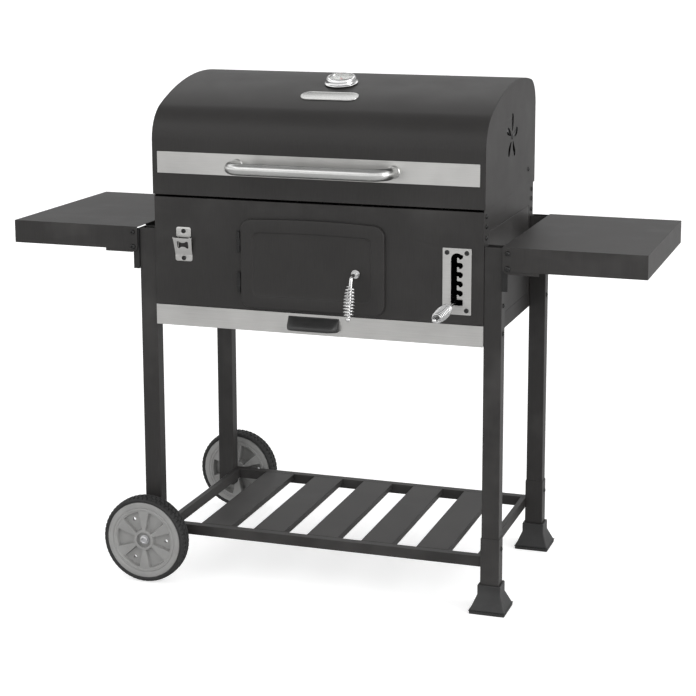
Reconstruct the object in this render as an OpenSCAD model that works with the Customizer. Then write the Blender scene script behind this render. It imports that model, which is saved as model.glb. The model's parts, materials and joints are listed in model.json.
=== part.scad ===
// Charcoal grill trolley: a fire box on four tube legs with an arched lid, a charcoal door,
// a height-adjustable charcoal pan, an ash drawer, two folding side shelves and two wheels.
// X runs along the width, -Y is the front and Z is up. The origin is on the floor, in the middle.

/* [Fire box] */
// Width over the side panels
body_w = 760; // [740:1:780]
// Depth from the front panel's face to the rear panel's back
body_d = 455; // [445:1:465]
// Height of the fire box's top edge
body_top = 884; // [880:1:888]
// Height of the front panel's lower edge
panel_bottom = 640; // [636:1:644]
// Height of the drawer front's lower edge
drawer_bottom = 593; // [590:1:596]
// Thickness of the sheet steel
sheet = 1.5; // [1.2:0.1:1.6]

/* [Lid] */
// Width over the lid ends
lid_w = 765; // [765:1:768]
// Height of the lid's lower edge
lid_bottom = 889.5; // [889:0.5:891]
// Height of the lid's highest line
lid_top = 1142.7; // [1138:0.1:1148]
// Radius of the lid's front shoulder
lid_front_r = 85; // [80:1:90]
// Radius of the lid's crown
lid_crown_r = 594; // [580:1:610]
// Radius of the lid's rear shoulder
lid_rear_r = 60; // [55:1:65]

/* [Legs and lower shelf] */
// Width of a leg tube
leg_w = 39; // [38:1:40]
// Depth of a leg tube
leg_d = 30; // [28:1:32]
// Height of the leg tubes' tops
leg_top = 811; // [808:1:814]
// Height of the lower shelf's top
deck_top = 121; // [118:1:124]
// Width of one slat
slat_w = 74; // [70:1:78]
// Distance from slat to slat
slat_pitch = 129.3; // [127:0.1:131]

/* [Wheels] */
// Wheel diameter
wheel_d = 200; // [190:1:210]
// Width of a tyre
wheel_t = 40; // [36:1:42]

/* [Side shelves] */
// Length of a side shelf
shelf_l = 308; // [290:1:320]
// Depth of a side shelf, front to back
shelf_d = 463; // [455:1:465]
// Height of the shelf tops
shelf_top = 813.5; // [812:0.5:815]
// Height of the folded edge round a shelf
shelf_edge = 51.7; // [50:0.1:53]

/* [Charcoal door] */
// Width of the door
door_w = 333; // [325:1:340]
// Height of the door
door_h = 201; // [196:1:204]
// Middle of the door, left of the grill's middle
door_shift = -6; // [-10:1:-4]
// Height of the door's lower edge
door_bottom = 645.5; // [644:0.5:648]

/* [Height lever] */
// Distance from notch to notch
notch_pitch = 20; // [19:0.5:21]
// How far the lever stands out in front of the fire box
lever_reach = 116; // [110:1:120]

/* [Hidden] */
$fn = 64;

// Colours
paint = [0.235, 0.23, 0.225];
dark_paint = [0.17, 0.17, 0.17];
steel = [0.74, 0.74, 0.73];
chrome = [0.85, 0.85, 0.86];
enamel = [0.1, 0.1, 0.1];
rubber = [0.09, 0.09, 0.09];
grey_plastic = [0.62, 0.62, 0.62];
black_plastic = [0.08, 0.08, 0.08];

// Main places
half_w = body_w / 2;
leg_front = 2;
rear_leg_front = body_d - 25;
wheel_gap = 29;
rear_reach = rear_leg_front + leg_d + wheel_gap + wheel_t;
front_y = (lever_reach - rear_reach) / 2;
back_y = front_y + body_d;
leg_out = half_w + leg_w;
clear = 0.3;
run = 0.06;

// Bolts
bolt_r = 3;
bolt_head_r = 5.2;
bolt_head_h = 3;
side_zs = [826.5, 851.5, 873.5];
side_ys = [front_y + 17.5, back_y - 17.5];
front_screw_places = [
    [-310, 748], [-310, 809],
    [299.3, 795.3], [342.8, 795.3], [299.3, 670.8], [342.8, 670.8]
];

// Wheels
wheel_r = wheel_d / 2;
axle_x = -396;
axle_r = 6;
rim_r = 88.5;
front_wheel_y = front_y + leg_front - wheel_gap - wheel_t;
rear_wheel_y = front_y + rear_leg_front + leg_d + wheel_gap;
spokes = 6;

// Lid
lid_half = lid_w / 2;
lid_front = front_y - sheet;
lid_rear = back_y + 2.5;
crown_y = front_y + 300;
crown_z = lid_top - lid_crown_r;
front_arc_y = lid_front + lid_front_r;
front_arc_z = crown_z + sqrt(pow(lid_crown_r - lid_front_r, 2) - pow(front_arc_y - crown_y, 2));
rear_arc_y = lid_rear - lid_rear_r;
rear_arc_z = crown_z + sqrt(pow(lid_crown_r - lid_rear_r, 2) - pow(rear_arc_y - crown_y, 2));
front_angle = atan2(front_arc_z - crown_z, front_arc_y - crown_y);
rear_angle = atan2(rear_arc_z - crown_z, rear_arc_y - crown_y);
hinge_y = back_y + 8;
hinge_z = body_top + 2;
hinge_xs = [-270, 270];
vent_y = front_y + 230;
vent_z = 1019;
vent_r = 52;
petals = 5;
handle_z = 962;
handle_r = 13;
handle_half = 180;
handle_out = 67;
handle_bend = 35;
gauge_y = front_y + 182;
gauge_angle = asin((gauge_y - crown_y) / lid_crown_r);
plate_y = front_y + 102;
plate_angle = asin((plate_y - crown_y) / lid_crown_r);
rack_pivot_y = front_y + 391;
rack_pivot_z = 926;
link_y = rack_pivot_y - 150;
rack_half = 352;

// Charcoal door and latch
door_left = door_shift - door_w / 2;
door_right = door_left + door_w;
door_top = door_bottom + door_h;
door_r = 24;
door_face = front_y - 8;
door_back = front_y - 0.6;
door_lap = 12;
door_hinge_x = door_left - 4.5;
door_hinge_y = front_y - 6;
knuckle_zs = [678.8, 769.5];
knuckle_h = 46;
latch_x = 96.3;
latch_z = 736.7;
latch_out = 40;
latch_bend = 12;
latch_lean = 14;
latch_neck = 9;
latch_grip_len = 70;
latch_bend_y = front_y - latch_out + latch_bend;
latch_dir = [0, -sin(latch_lean), -cos(latch_lean)];
latch_end = [
    latch_x,
    latch_bend_y - latch_bend * cos(latch_lean),
    latch_z - latch_bend + latch_bend * sin(latch_lean)
];

// Height adjuster
plate_left = 289.5;
plate_right = 353;
plate_low = 661;
plate_high = 805;
slot_left = 308;
slot_mid = 321.5;
slot_right = 334.5;
slot_low = 681;
notches = 6;
lift_travel = (notches - 1) * notch_pitch;
lever_r = 4;
lever_in = [323, front_y + 60, 695.2];
lever_mid = [316, front_y, 686.5];
lever_dir = (lever_mid - lever_in) / norm(lever_mid - lever_in);
grip_len = 74;
lever_tip = lever_in + lever_dir * ((lever_in[1] - (front_y - lever_reach) - 5) / -lever_dir[1]);

// Side shelves
shelf_in = half_w + leg_w + 2;
shelf_front = front_y - 6.4;
pivot_x = shelf_in + 11.5;
pivot_z = shelf_top - 45.7;
lock_z = pivot_z + 33;

// Inside the fire box
pan_low = 690;
pan_half = 320;
pan_front = front_y + 42;
pan_back = back_y - 42;
pan_h = 62;
grate_z = 862;
grate_t = 9;
tray_half = 368;
tray_low = 598;
tray_h = 34;
guide_xs = [-200, 200];

// A box between two opposite corners
module block(a, b) {
    translate(a)
        cube(b - a);
}

// A round bar along X
module bar_x(x0, x1, y, z, r) {
    translate([x0, y, z])
        rotate([0, 90, 0])
            cylinder(r = r, h = x1 - x0);
}

// A round bar along Y
module bar_y(x, y0, y1, z, r) {
    translate([x, y0, z])
        rotate([-90, 0, 0])
            cylinder(r = r, h = y1 - y0);
}

// A round bar along Z
module bar_z(x, y, z0, z1, r) {
    translate([x, y, z0])
        cylinder(r = r, h = z1 - z0);
}

// A round bar from point a to point b
module bar(a, b, r) {
    d = b - a;
    translate(a)
        rotate([0, acos(d[2] / norm(d)), atan2(d[1], d[0])])
            cylinder(r = r, h = norm(d));
}

// The shape and its mirror image on the other side
module both_sides() {
    children();
    mirror([1, 0, 0])
        children();
}

// A plate in the X-Z plane with round corners, its front face at y0
module rounded_panel(x0, x1, z0, z1, r, y0, t) {
    w = x1 - x0;
    h = z1 - z0;
    translate([x0, y0 + t, z0])
        rotate([90, 0, 0])
            union() {
                translate([r, 0, 0])
                    cube([w - 2 * r, h, t]);
                for (x = [0, w - r])
                    translate([x, r, 0])
                        cube([r, h - 2 * r, t]);
                for (c = [[w - r, h - r, 0], [r, h - r, 90], [r, r, 180], [w - r, r, 270]])
                    translate([c[0], c[1], 0])
                        rotate([0, 0, c[2]])
                            rotate_extrude(angle = 90)
                                square([r, t]);
            }
}

// A tube of rectangular section standing from z0 to z1
module square_tube(x0, x1, y0, y1, z0, z1, t) {
    difference() {
        block([x0, y0, z0], [x1, y1, z1]);
        block([x0 + t, y0 + t, z0 - 1], [x1 - t, y1 - t, z1 + 1]);
    }
}

// A small bolt with a flat head towards the front; its head sits on y
module front_bolt(x, y, z, grip) {
    bar_y(x, y - bolt_head_h, y, z, bolt_head_r);
    bar_y(x, y, y + grip, z, bolt_r - 0.2);
}

// A small bolt with its head outwards on the right side; its head sits on x
module side_bolt(x, y, z, grip) {
    bar_x(x, x + bolt_head_h, y, z, bolt_head_r);
    bar_x(x - grip, x, y, z, bolt_r - 0.2);
}

// Holes for the bolts of the right side panel
module side_bolt_holes() {
    for (z = side_zs)
        for (y = side_ys)
            bar_x(half_w - 6, half_w + 1, y, z, bolt_r);
}

// Holes for the screws of the bottle opener and the height plate
module front_screw_holes() {
    for (p = front_screw_places)
        bar_y(p[0], front_y - 5, front_y + 3, p[1], bolt_r);
}

// ---- Legs, lower shelf and wheels ----

module leg(x0, y_off, z0) {
    y0 = front_y + y_off;
    square_tube(x0, x0 + leg_w, y0, y0 + leg_d, z0, leg_top, sheet);
}

module left_leg(y_off) {
    color(paint)
        difference() {
            leg(-leg_out, y_off, 80);
            bar_y(axle_x, front_y - 10, back_y + 20, wheel_r, axle_r + 0.2);
        }
}

module front_left_leg() {
    left_leg(leg_front);
}

module rear_left_leg() {
    left_leg(rear_leg_front);
}

module front_right_leg() {
    color(paint)
        leg(half_w, leg_front, 20);
}

module rear_right_leg() {
    color(paint)
        leg(half_w, rear_leg_front, 20);
}

// Sleeves round the lower ends of the right legs
module leg_sleeves() {
    color(paint)
        for (y_off = [leg_front, rear_leg_front])
            square_tube(half_w - 1.5, leg_out + 1.5,
                front_y + y_off - 1.5, front_y + y_off + leg_d + 1.5,
                58, 167, 1.5);
}

// Flared plastic feet: a rim on the floor, sloping sides and a collar round the sleeve
module leg_feet() {
    base = 40;
    color(black_plastic)
        for (y_off = [leg_front, rear_leg_front])
            translate([half_w + leg_w / 2, front_y + y_off + leg_d / 2, 0])
                difference() {
                    union() {
                        translate([-base, -base, 0])
                            cube([2 * base, 2 * base, 8]);
                        foot_flare(base - 1, base - 1, 26, 22);
                        translate([-26, -22, 40])
                            cube([52, 44, 22]);
                    }
                    translate([-leg_w / 2 - 1.6, -leg_d / 2 - 1.6, 20])
                        cube([leg_w + 3.2, leg_d + 3.2, 60]);
                }
}

// The sloping middle of a foot, from a wide rectangle up to a narrow one
module foot_flare(wide_x, wide_y, top_x, top_y) {
    low = 8;
    high = 40;
    intersection() {
        translate([0, 100, 0])
            rotate([90, 0, 0])
                linear_extrude(200)
                    polygon([[-wide_x, low], [wide_x, low], [top_x, high], [-top_x, high]]);
        along_x(-100, 100)
            polygon([[-wide_y, low], [wide_y, low], [top_y, high], [-top_y, high]]);
    }
}

// The rails of the lower shelf: front, rear, left and right
module frame_rails() {
    low = deck_top - 23.5;
    front_rail = front_y + 11;
    rear_rail = front_y + rear_leg_front + 9;
    side_rail_w = 13;
    color(paint) {
        for (y = [front_rail, rear_rail])
            difference() {
                block([-half_w + clear, y, low], [half_w - 1.8, y + 20, deck_top]);
                block([-half_w - 1, y + 1.2, low + 1.2], [half_w + 1, y + 18.8, deck_top - 1.2]);
            }
        for (x = [-half_w + clear, half_w - 1.8 - side_rail_w])
            difference() {
                block([x, front_rail + 20.2, low], [x + side_rail_w, rear_rail - 0.2, deck_top]);
                block([x + 1.2, front_rail, low + 1.2],
                    [x + side_rail_w - 1.2, rear_rail + 20, deck_top - 1.2]);
            }
    }
}

// Five slats of folded sheet, laid from rail to rail
module shelf_slats() {
    y0 = front_y + 31.2;
    y1 = front_y + rear_leg_front + 8.8;
    color(paint)
        for (i = [-2:2])
            translate([i * slat_pitch + 2, 0, 0])
                difference() {
                    block([-slat_w / 2, y0, deck_top - 14], [slat_w / 2, y1, deck_top]);
                    block([-slat_w / 2 + 1.2, y0 - 1, deck_top - 15],
                        [slat_w / 2 - 1.2, y1 + 1, deck_top - 1.2]);
                }
}

// Axle rod with a spacer, a washer and a nut at each end
module axle() {
    front_seat = front_wheel_y + 10;
    rear_seat = rear_wheel_y + wheel_t - 9;
    color(steel)
        union() {
            bar_y(axle_x, front_wheel_y + 0.5, rear_wheel_y + wheel_t - 0.5, wheel_r, axle_r);
            for (y = [front_y + leg_front - wheel_gap + 0.3, rear_wheel_y - wheel_gap + 0.3])
                bar_y(axle_x, y, y + wheel_gap - 0.6, wheel_r, 11);
            bar_y(axle_x, front_seat - 2.4, front_seat - 0.4, wheel_r, 13);
            bar_y(axle_x, rear_seat + 0.4, rear_seat + 2.4, wheel_r, 13);
            for (y = [front_seat - 8.4, rear_seat + 2.4])
                translate([axle_x, y, wheel_r])
                    rotate([-90, 0, 0])
                        cylinder(r = 10.4, h = 6, $fn = 6);
        }
}

// A tyre with rounded shoulders; its outer side faces the front
module tyre(y) {
    crown = 3;
    color(rubber)
        translate([axle_x, y, wheel_r])
            rotate([-90, 0, 0])
                rotate_extrude()
                    polygon([[rim_r + 0.3, 3], [rim_r + 3, 1], [wheel_r - 6, 1], [wheel_r - 1.5, 6],
                        [wheel_r, wheel_t / 2 - crown], [wheel_r, wheel_t / 2 + crown],
                        [wheel_r - 1.5, wheel_t - 6], [wheel_r - 6, wheel_t], [rim_r + 3, wheel_t],
                        [rim_r + 0.3, wheel_t - 2]]);
}

module front_tyre() {
    tyre(front_wheel_y);
}

module rear_tyre() {
    tyre(rear_wheel_y);
}

// Pockets between flared spokes, cut from z0 to z1
module hub_pockets(z0, z1) {
    difference() {
        translate([0, 0, z0])
            cylinder(r = 67, h = z1 - z0);
        translate([0, 0, z0 - 1])
            cylinder(r = 23, h = z1 - z0 + 2);
        for (i = [0:spokes - 1])
            rotate([0, 0, (i + 0.5) * 360 / spokes])
                translate([0, 0, z0 - 1])
                    linear_extrude(z1 - z0 + 2)
                        polygon([[15, -2.5], [rim_r, -18.5], [rim_r, 18.5], [15, 2.5]]);
    }
}

// A plastic hub: rim, flared spokes between pockets on both faces, three holes and a boss.
// Its outer face is at z = 0 and it reaches to z = wheel_t - 2.
module hub_body() {
    depth = wheel_t - 2;
    difference() {
        cylinder(r = rim_r, h = depth);
        translate([0, 0, -1])
            cylinder(r = axle_r + run, h = depth + 2);
        translate([0, 0, -1])
            cylinder(r = 17.5, h = 9);
        hub_pockets(-1, 10);
        hub_pockets(16, depth + 1);
        for (turn = [0, 120, 240])
            rotate([0, 0, turn])
                translate([52, 0, 5])
                    cylinder(r = 3.6, h = 20);
    }
}

module front_hub() {
    color(grey_plastic)
        translate([axle_x, front_wheel_y + 2, wheel_r])
            rotate([-90, 0, 0])
                hub_body();
}

module rear_hub() {
    color(grey_plastic)
        translate([axle_x, rear_wheel_y + wheel_t - 1, wheel_r])
            rotate([90, 0, 0])
                hub_body();
}

// ---- Fire box ----

// Front panel with a folded top edge, the charcoal opening and the window behind the height plate
module front_panel() {
    color(paint)
        difference() {
            union() {
                block([-half_w, front_y, panel_bottom], [half_w, front_y + sheet, body_top]);
                block([-half_w + 4, front_y + sheet, body_top - sheet],
                    [half_w - 4, front_y + 12, body_top]);
                both_sides()
                    block([half_w - 2 * sheet - 0.2, front_y + sheet, panel_bottom],
                        [half_w - sheet - 0.2, front_y + 32, body_top - 12]);
            }
            block([door_left + door_lap, front_y - 1, door_bottom + door_lap],
                [door_right - door_lap, front_y + 5, door_top - door_lap]);
            block([slot_left - 3, front_y - 1, slot_low - 9], [slot_right + 3, front_y + 5, 799]);
            block([slot_left - 15, front_y - 1, slot_low - 3], [slot_left, front_y + 5, 788]);
            front_screw_holes();
            both_sides()
                side_bolt_holes();
        }
}

// Rear panel with folded sides
module rear_panel() {
    x1 = half_w - sheet - 0.2;
    color(paint)
        difference() {
            union() {
                block([-x1, back_y - sheet, drawer_bottom + 2], [x1, back_y, body_top + 6]);
                both_sides()
                    block([x1 - sheet, back_y - 32, drawer_bottom + 2],
                        [x1, back_y - sheet, body_top + 6]);
            }
            both_sides()
                side_bolt_holes();
        }
}

// A side panel with a shallow pressed field: upper line, lower line and two uprights
module side_panel() {
    x0 = half_w - sheet;
    color(paint)
        difference() {
            block([x0, front_y + sheet, drawer_bottom + 1.5], [half_w, back_y, body_top + 8.5]);
            for (z = [631, 837])
                block([half_w - 0.6, front_y + 42, z], [half_w + 1, back_y - 42, z + 2]);
            block([half_w - 0.6, back_y - 44, 631], [half_w + 1, back_y - 42, 839]);
            block([half_w - 0.6, front_y + 42, 631], [half_w + 1, front_y + 44, 839]);
            side_bolt_holes();
        }
}

module right_side_panel() {
    side_panel();
}

module left_side_panel() {
    mirror([1, 0, 0])
        side_panel();
}

// Ledges for the cooking grates, runners for the ash tray, and guides for the lift frame
module inner_rails() {
    wall = half_w - 2 * sheet - 0.2;
    color(dark_paint) {
        both_sides() {
            block([wall - 16, front_y + 33, grate_z - 2], [half_w - sheet, back_y - 33, grate_z]);
            block([half_w - sheet - 1.5, front_y + 33, grate_z - 18],
                [half_w - sheet, back_y - 33, grate_z - 2]);
        }
        both_sides() {
            block([tray_half - 14, front_y + 33, tray_low - 2.3],
                [half_w - sheet, back_y - 33, tray_low - 0.3]);
            block([half_w - sheet - 1.5, front_y + 33, tray_low - 0.3],
                [half_w - sheet, back_y - 33, tray_low + 16]);
        }
        for (x = guide_xs)
            for (s = [-1, 1])
                block([x + s * 5 - 1.5, back_y - 18, 655], [x + s * 5 + 1.5, back_y - sheet, 830]);
    }
}

// Bolts through the side panels, the legs and the sleeves
module panel_bolts() {
    leg_ys = [front_y + leg_front + leg_d / 2, front_y + rear_leg_front + leg_d / 2];
    color(steel) {
        both_sides() {
            for (z = side_zs)
                for (y = side_ys)
                    side_bolt(half_w, y, z, 4.5);
            for (y = leg_ys) {
                for (z = [622, 683])
                    bar_x(leg_out, leg_out + 2.6, y, z, bolt_head_r);
                bar_x(leg_out + 1.8, leg_out + 4.4, y, 784, bolt_head_r);
            }
        }
        for (y = leg_ys)
            bar_x(leg_out + 1.5, leg_out + 4.1, y + 4, 140, bolt_head_r);
    }
}

// ---- Side shelves ----

// A folded sheet tray, open below, with a short inner edge and an arm at the front and at the back
module shelf() {
    x1 = shelf_in + shelf_l;
    y1 = shelf_front + shelf_d;
    low = shelf_top - shelf_edge;
    color(paint) {
        difference() {
            block([shelf_in, shelf_front, low], [x1, y1, shelf_top]);
            block([shelf_in - 1, shelf_front + 1, low - 1], [x1 - 1, y1 - 1, shelf_top - 1]);
            shelf_holes(shelf_front - 1, shelf_front + 2);
            shelf_holes(y1 - 2, y1 + 1);
            for (y = [shelf_front, y1])
                bar_corner(y);
        }
        block([shelf_in, front_y + 40, shelf_top - 22], [shelf_in + 1, back_y - 40, shelf_top - 1]);
        for (y = [shelf_front + 1, y1 - 3])
            difference() {
                union() {
                    block([shelf_in + 1, y, pivot_z], [shelf_in + 79, y + 2, shelf_top - 1.2]);
                    block([pivot_x, y, low - 6.8], [shelf_in + 79, y + 2, pivot_z]);
                    bar_y(pivot_x, y, y + 2, pivot_z, 11);
                }
                shelf_holes(y - 1, y + 3);
            }
    }
}

// Takes the lower inner corner off a shelf edge so that it clears the leg as the shelf folds
module bar_corner(y) {
    low = shelf_top - shelf_edge;
    difference() {
        block([shelf_in - 1, y - 3, low - 1], [pivot_x, y + 3, pivot_z]);
        bar_y(pivot_x, y - 4, y + 4, pivot_z, 11);
    }
}

// The pivot hole and the lock bolt's hole
module shelf_holes(y0, y1) {
    bar_y(pivot_x, y0, y1, pivot_z, bolt_r + run);
    bar_y(pivot_x, y0, y1, lock_z, bolt_r + 0.2);
}

module right_shelf() {
    shelf();
}

module left_shelf() {
    mirror([1, 0, 0])
        shelf();
}

// Bolts that lock a shelf level: each slides into a slot of its bracket
module lock_bolts() {
    y1 = shelf_front + shelf_d;
    color(steel) {
        bar_y(pivot_x, shelf_front - 4, shelf_front, lock_z, bolt_head_r);
        bar_y(pivot_x, shelf_front, shelf_front + 5, lock_z, bolt_r);
        bar_y(pivot_x, y1, y1 + 4, lock_z, bolt_head_r);
        bar_y(pivot_x, y1 - 5, y1, lock_z, bolt_r);
    }
}

module right_lock_bolts() {
    lock_bolts();
}

module left_lock_bolts() {
    mirror([1, 0, 0])
        lock_bolts();
}

// A bracket plate with the pivot hole, the lock slot and a tab along the leg
module bracket(y, tab_y0, tab_y1) {
    slot_r = lock_z - pivot_z;
    difference() {
        union() {
            block([leg_out, y, pivot_z - 50], [pivot_x, y + 2, shelf_top - 3]);
            block([pivot_x, y, pivot_z + 2], [pivot_x + 9, y + 2, shelf_top - 3]);
            bar_y(pivot_x, y, y + 2, pivot_z, 9);
            block([leg_out, tab_y0, pivot_z - 50], [leg_out + 1.8, tab_y1, shelf_top - 3]);
        }
        bar_y(pivot_x, y - 1, y + 3, pivot_z, bolt_r + 0.2);
        bar_y(pivot_x, y - 1, y + 3, lock_z, bolt_r + 0.4);
        intersection() {
            difference() {
                bar_y(pivot_x, y - 1, y + 3, pivot_z, slot_r + bolt_r + 0.4);
                bar_y(pivot_x, y - 2, y + 4, pivot_z, slot_r - bolt_r - 0.4);
            }
            block([pivot_x, y - 1, pivot_z], [pivot_x + 20, y + 3, pivot_z + 60]);
        }
    }
}

module shelf_brackets() {
    y1 = shelf_front + shelf_d;
    color(dark_paint)
        both_sides() {
            bracket(shelf_front + 3.4, shelf_front + 3.4, front_y + leg_front + leg_d);
            bracket(y1 - 5.4, front_y + rear_leg_front, y1 - 3.4);
        }
}

// Bolts on which the shelves fold
module shelf_pivot_bolts() {
    y1 = shelf_front + shelf_d;
    color(steel)
        both_sides() {
            bar_y(pivot_x, shelf_front - 4, shelf_front - 0.4, pivot_z, bolt_head_r + 0.8);
            bar_y(pivot_x, shelf_front - 0.4, shelf_front + 5.4, pivot_z, bolt_r);
            bar_y(pivot_x, shelf_front + 5.4, shelf_front + 9.4, pivot_z, bolt_head_r);
            bar_y(pivot_x, y1 + 0.4, y1 + 4, pivot_z, bolt_head_r + 0.8);
            bar_y(pivot_x, y1 - 5.4, y1 + 0.4, pivot_z, bolt_r);
            bar_y(pivot_x, y1 - 9.4, y1 - 5.4, pivot_z, bolt_head_r);
        }
}

// ---- Lid ----

// Points along an arc about c, both ends included
function arc(c, r, a0, a1, n) =
    [for (i = [0:n]) c + r * [cos(a0 + (a1 - a0) * i / n), sin(a0 + (a1 - a0) * i / n)]];

// The lid's outline in the Y-Z plane, drawn t inside the outer face: front wall, front shoulder,
// crown, rear shoulder and rear wall
function lid_outline(t, low) = concat(
    [[lid_front + t, low]],
    arc([front_arc_y, front_arc_z], lid_front_r - t, 180, front_angle, 16),
    arc([crown_y, crown_z], lid_crown_r - t, front_angle - 1.8, rear_angle + 1.8, 18),
    arc([rear_arc_y, rear_arc_z], lid_rear_r - t, rear_angle, 0, 16),
    [[lid_rear - t, low]]);

// Extrudes an outline drawn in the Y-Z plane from x0 to x1
module along_x(x0, x1) {
    translate([x0, 0, 0])
        rotate([90, 0, 90])
            linear_extrude(x1 - x0)
                children();
}

// Moves a shape built about +Z to stand on the lid's crown at distance y from the front
module on_crown(x, angle) {
    translate([x, crown_y, crown_z])
        rotate([-angle, 0, 0])
            translate([0, 0, lid_crown_r])
                children();
}

module lid_shell() {
    x1 = lid_half - sheet;
    color(paint)
        difference() {
            along_x(-x1, x1)
                polygon(lid_outline(0, lid_bottom));
            along_x(-x1 - 1, x1 + 1)
                polygon(lid_outline(sheet, lid_bottom - 1));
            on_crown(0, gauge_angle)
                translate([0, 0, -5])
                    cylinder(r = 5, h = 10);
            for (x = [-handle_half, handle_half])
                bar_y(x, lid_front - 1, lid_front + 5, handle_z, bolt_r + 0.2);
        }
}

// One pinwheel petal: a narrow slot from near the centre that widens and leans over
module petal(x0, x1) {
    along_x(x0, x1)
        polygon([[-2, 14], [3, 14], [11, 30], [12, 42],
            [7, vent_r - 2], [-1, vent_r], [-5, 44], [-2, 30]]);
}

module vent_petals(x0, x1, turn) {
    translate([0, vent_y, vent_z])
        for (i = [0:petals - 1])
            rotate([turn - i * 360 / petals, 0, 0])
                petal(x0, x1);
}

module lid_end() {
    x0 = lid_half - sheet;
    color(paint)
        difference() {
            along_x(x0, lid_half)
                polygon(lid_outline(0, lid_bottom));
            vent_petals(x0 - 1, lid_half + 1, 0);
            bar_x(x0 - 1, lid_half + 1, vent_y, vent_z, bolt_r + 0.2);
            bar_x(x0 - 1, lid_half + 1, rack_pivot_y, rack_pivot_z, bolt_r + 0.2);
        }
}

module lid_right_end() {
    lid_end();
}

module lid_left_end() {
    mirror([1, 0, 0])
        lid_end();
}

// A disc behind the vent that opens and shuts the petals
module vent_disc() {
    x0 = lid_half - sheet - 2.2;
    color(dark_paint)
        difference() {
            bar_x(x0, x0 + 1.2, vent_y, vent_z, vent_r + 6);
            vent_petals(x0 - 1, x0 + 3, 14);
            bar_x(x0 - 1, x0 + 3, vent_y, vent_z, bolt_r + run);
        }
}

module right_vent_disc() {
    vent_disc();
}

module left_vent_disc() {
    mirror([1, 0, 0])
        vent_disc();
}

// Stainless strip across the lid's front
module lid_band() {
    color(steel)
        difference() {
            block([-370, lid_front - 0.8, 938], [370, lid_front, 986]);
            for (x = [-handle_half, handle_half])
                bar_y(x, lid_front - 2, lid_front + 1, handle_z, bolt_r + 0.2);
        }
}

// A bent tube handle
module lid_handle() {
    y0 = lid_front - 0.8;
    out = front_y - handle_out;
    color(chrome)
        difference() {
            union() {
                bar_x(-handle_half + handle_bend, handle_half - handle_bend, out, handle_z, handle_r);
                both_sides() {
                    bar_y(handle_half, out + handle_bend, y0, handle_z, handle_r);
                    translate([handle_half - handle_bend, out + handle_bend, handle_z])
                        rotate([0, 0, -90])
                            rotate_extrude(angle = 90)
                                translate([handle_bend, 0])
                                    circle(r = handle_r);
                }
            }
            both_sides()
                bar_y(handle_half, y0 - 14, y0 + 1, handle_z, bolt_r + 0.2);
        }
}

// Handle bolts, vent rivets and the warming rack's pivot bolts
module lid_fasteners() {
    x0 = lid_half - sheet;
    y0 = lid_front - 0.8;
    color(steel)
        both_sides() {
            bar_y(handle_half, y0 - 13, lid_front + sheet, handle_z, bolt_r);
            bar_y(handle_half, lid_front + sheet, lid_front + sheet + 3.5, handle_z, 6);
            bar_x(x0 - 2.4, lid_half, vent_y, vent_z, bolt_r);
            bar_x(lid_half, lid_half + 1.8, vent_y, vent_z, 6);
            bar_x(x0 - 5, x0 - 2.4, vent_y, vent_z, 8);
            bar_x(lid_half, lid_half + 2.4, rack_pivot_y, rack_pivot_z, 5);
            bar_x(rack_half - 7, lid_half, rack_pivot_y, rack_pivot_z, bolt_r);
        }
}

// Case of the lid thermometer: skirt, dome edge, dial seat and probe
module thermometer_case() {
    color(chrome)
        on_crown(0, gauge_angle)
            union() {
                difference() {
                    rotate_extrude()
                        polygon([[0, 1.2], [37, 1.2], [38, 2.2], [37, 4], [34, 5], [33.4, 12], [31, 16],
                            [28.4, 17], [0, 17]]);
                    translate([0, 0, 9])
                        cylinder(r = 28, h = 20);
                }
                translate([0, 0, -64])
                    cylinder(r = 3, h = 66);
                translate([0, 0, -9])
                    cylinder(r = 8, h = 6);
            }
}

module thermometer_dial() {
    color([0.93, 0.93, 0.91])
        on_crown(0, gauge_angle)
            difference() {
                translate([0, 0, 9])
                    cylinder(r = 27.8, h = 0.8);
                translate([0, 0, 8])
                    cylinder(r = 1.2, h = 3);
            }
}

module thermometer_needle() {
    color([0.75, 0.1, 0.08])
        on_crown(0, gauge_angle)
            union() {
                translate([0, 0, 10.1])
                    cylinder(r = 2.6, h = 1.4);
                rotate([0, 0, 225])
                    translate([-0.9, 0, 10.4])
                        cube([1.8, 22, 0.8]);
            }
}

module thermometer_glass() {
    color([0.85, 0.9, 0.92, 0.35])
        on_crown(0, gauge_angle)
            translate([0, 0, 13.5])
                cylinder(r = 27.9, h = 1.6);
}

// A plain oval badge
module name_plate() {
    half_l = 47;
    half_h = 20;
    color(chrome)
        on_crown(0, plate_angle)
            union() {
                translate([-half_l, -half_h, 0.3])
                    cube([2 * half_l, 2 * half_h, 1.6]);
                for (s = [0, 180])
                    rotate([0, 0, s])
                        translate([half_l, 0, 0.3])
                            rotate([0, 0, -90])
                                rotate_extrude(angle = 180)
                                    square([half_h, 1.6]);
            }
}

// Hinge leaves on the lid, each with one wide knuckle
module lid_hinge_leaves() {
    color(dark_paint)
        for (x = hinge_xs)
            difference() {
                union() {
                    block([x - 16, lid_rear, lid_bottom + 1], [x + 16, lid_rear + 2, lid_bottom + 38]);
                    block([x - 12, lid_rear, hinge_z - 1], [x + 12, hinge_y, lid_bottom + 3]);
                    bar_x(x - 12, x + 12, hinge_y, hinge_z, 5);
                }
                bar_x(x - 20, x + 20, hinge_y, hinge_z, bolt_r + run);
            }
}

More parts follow.
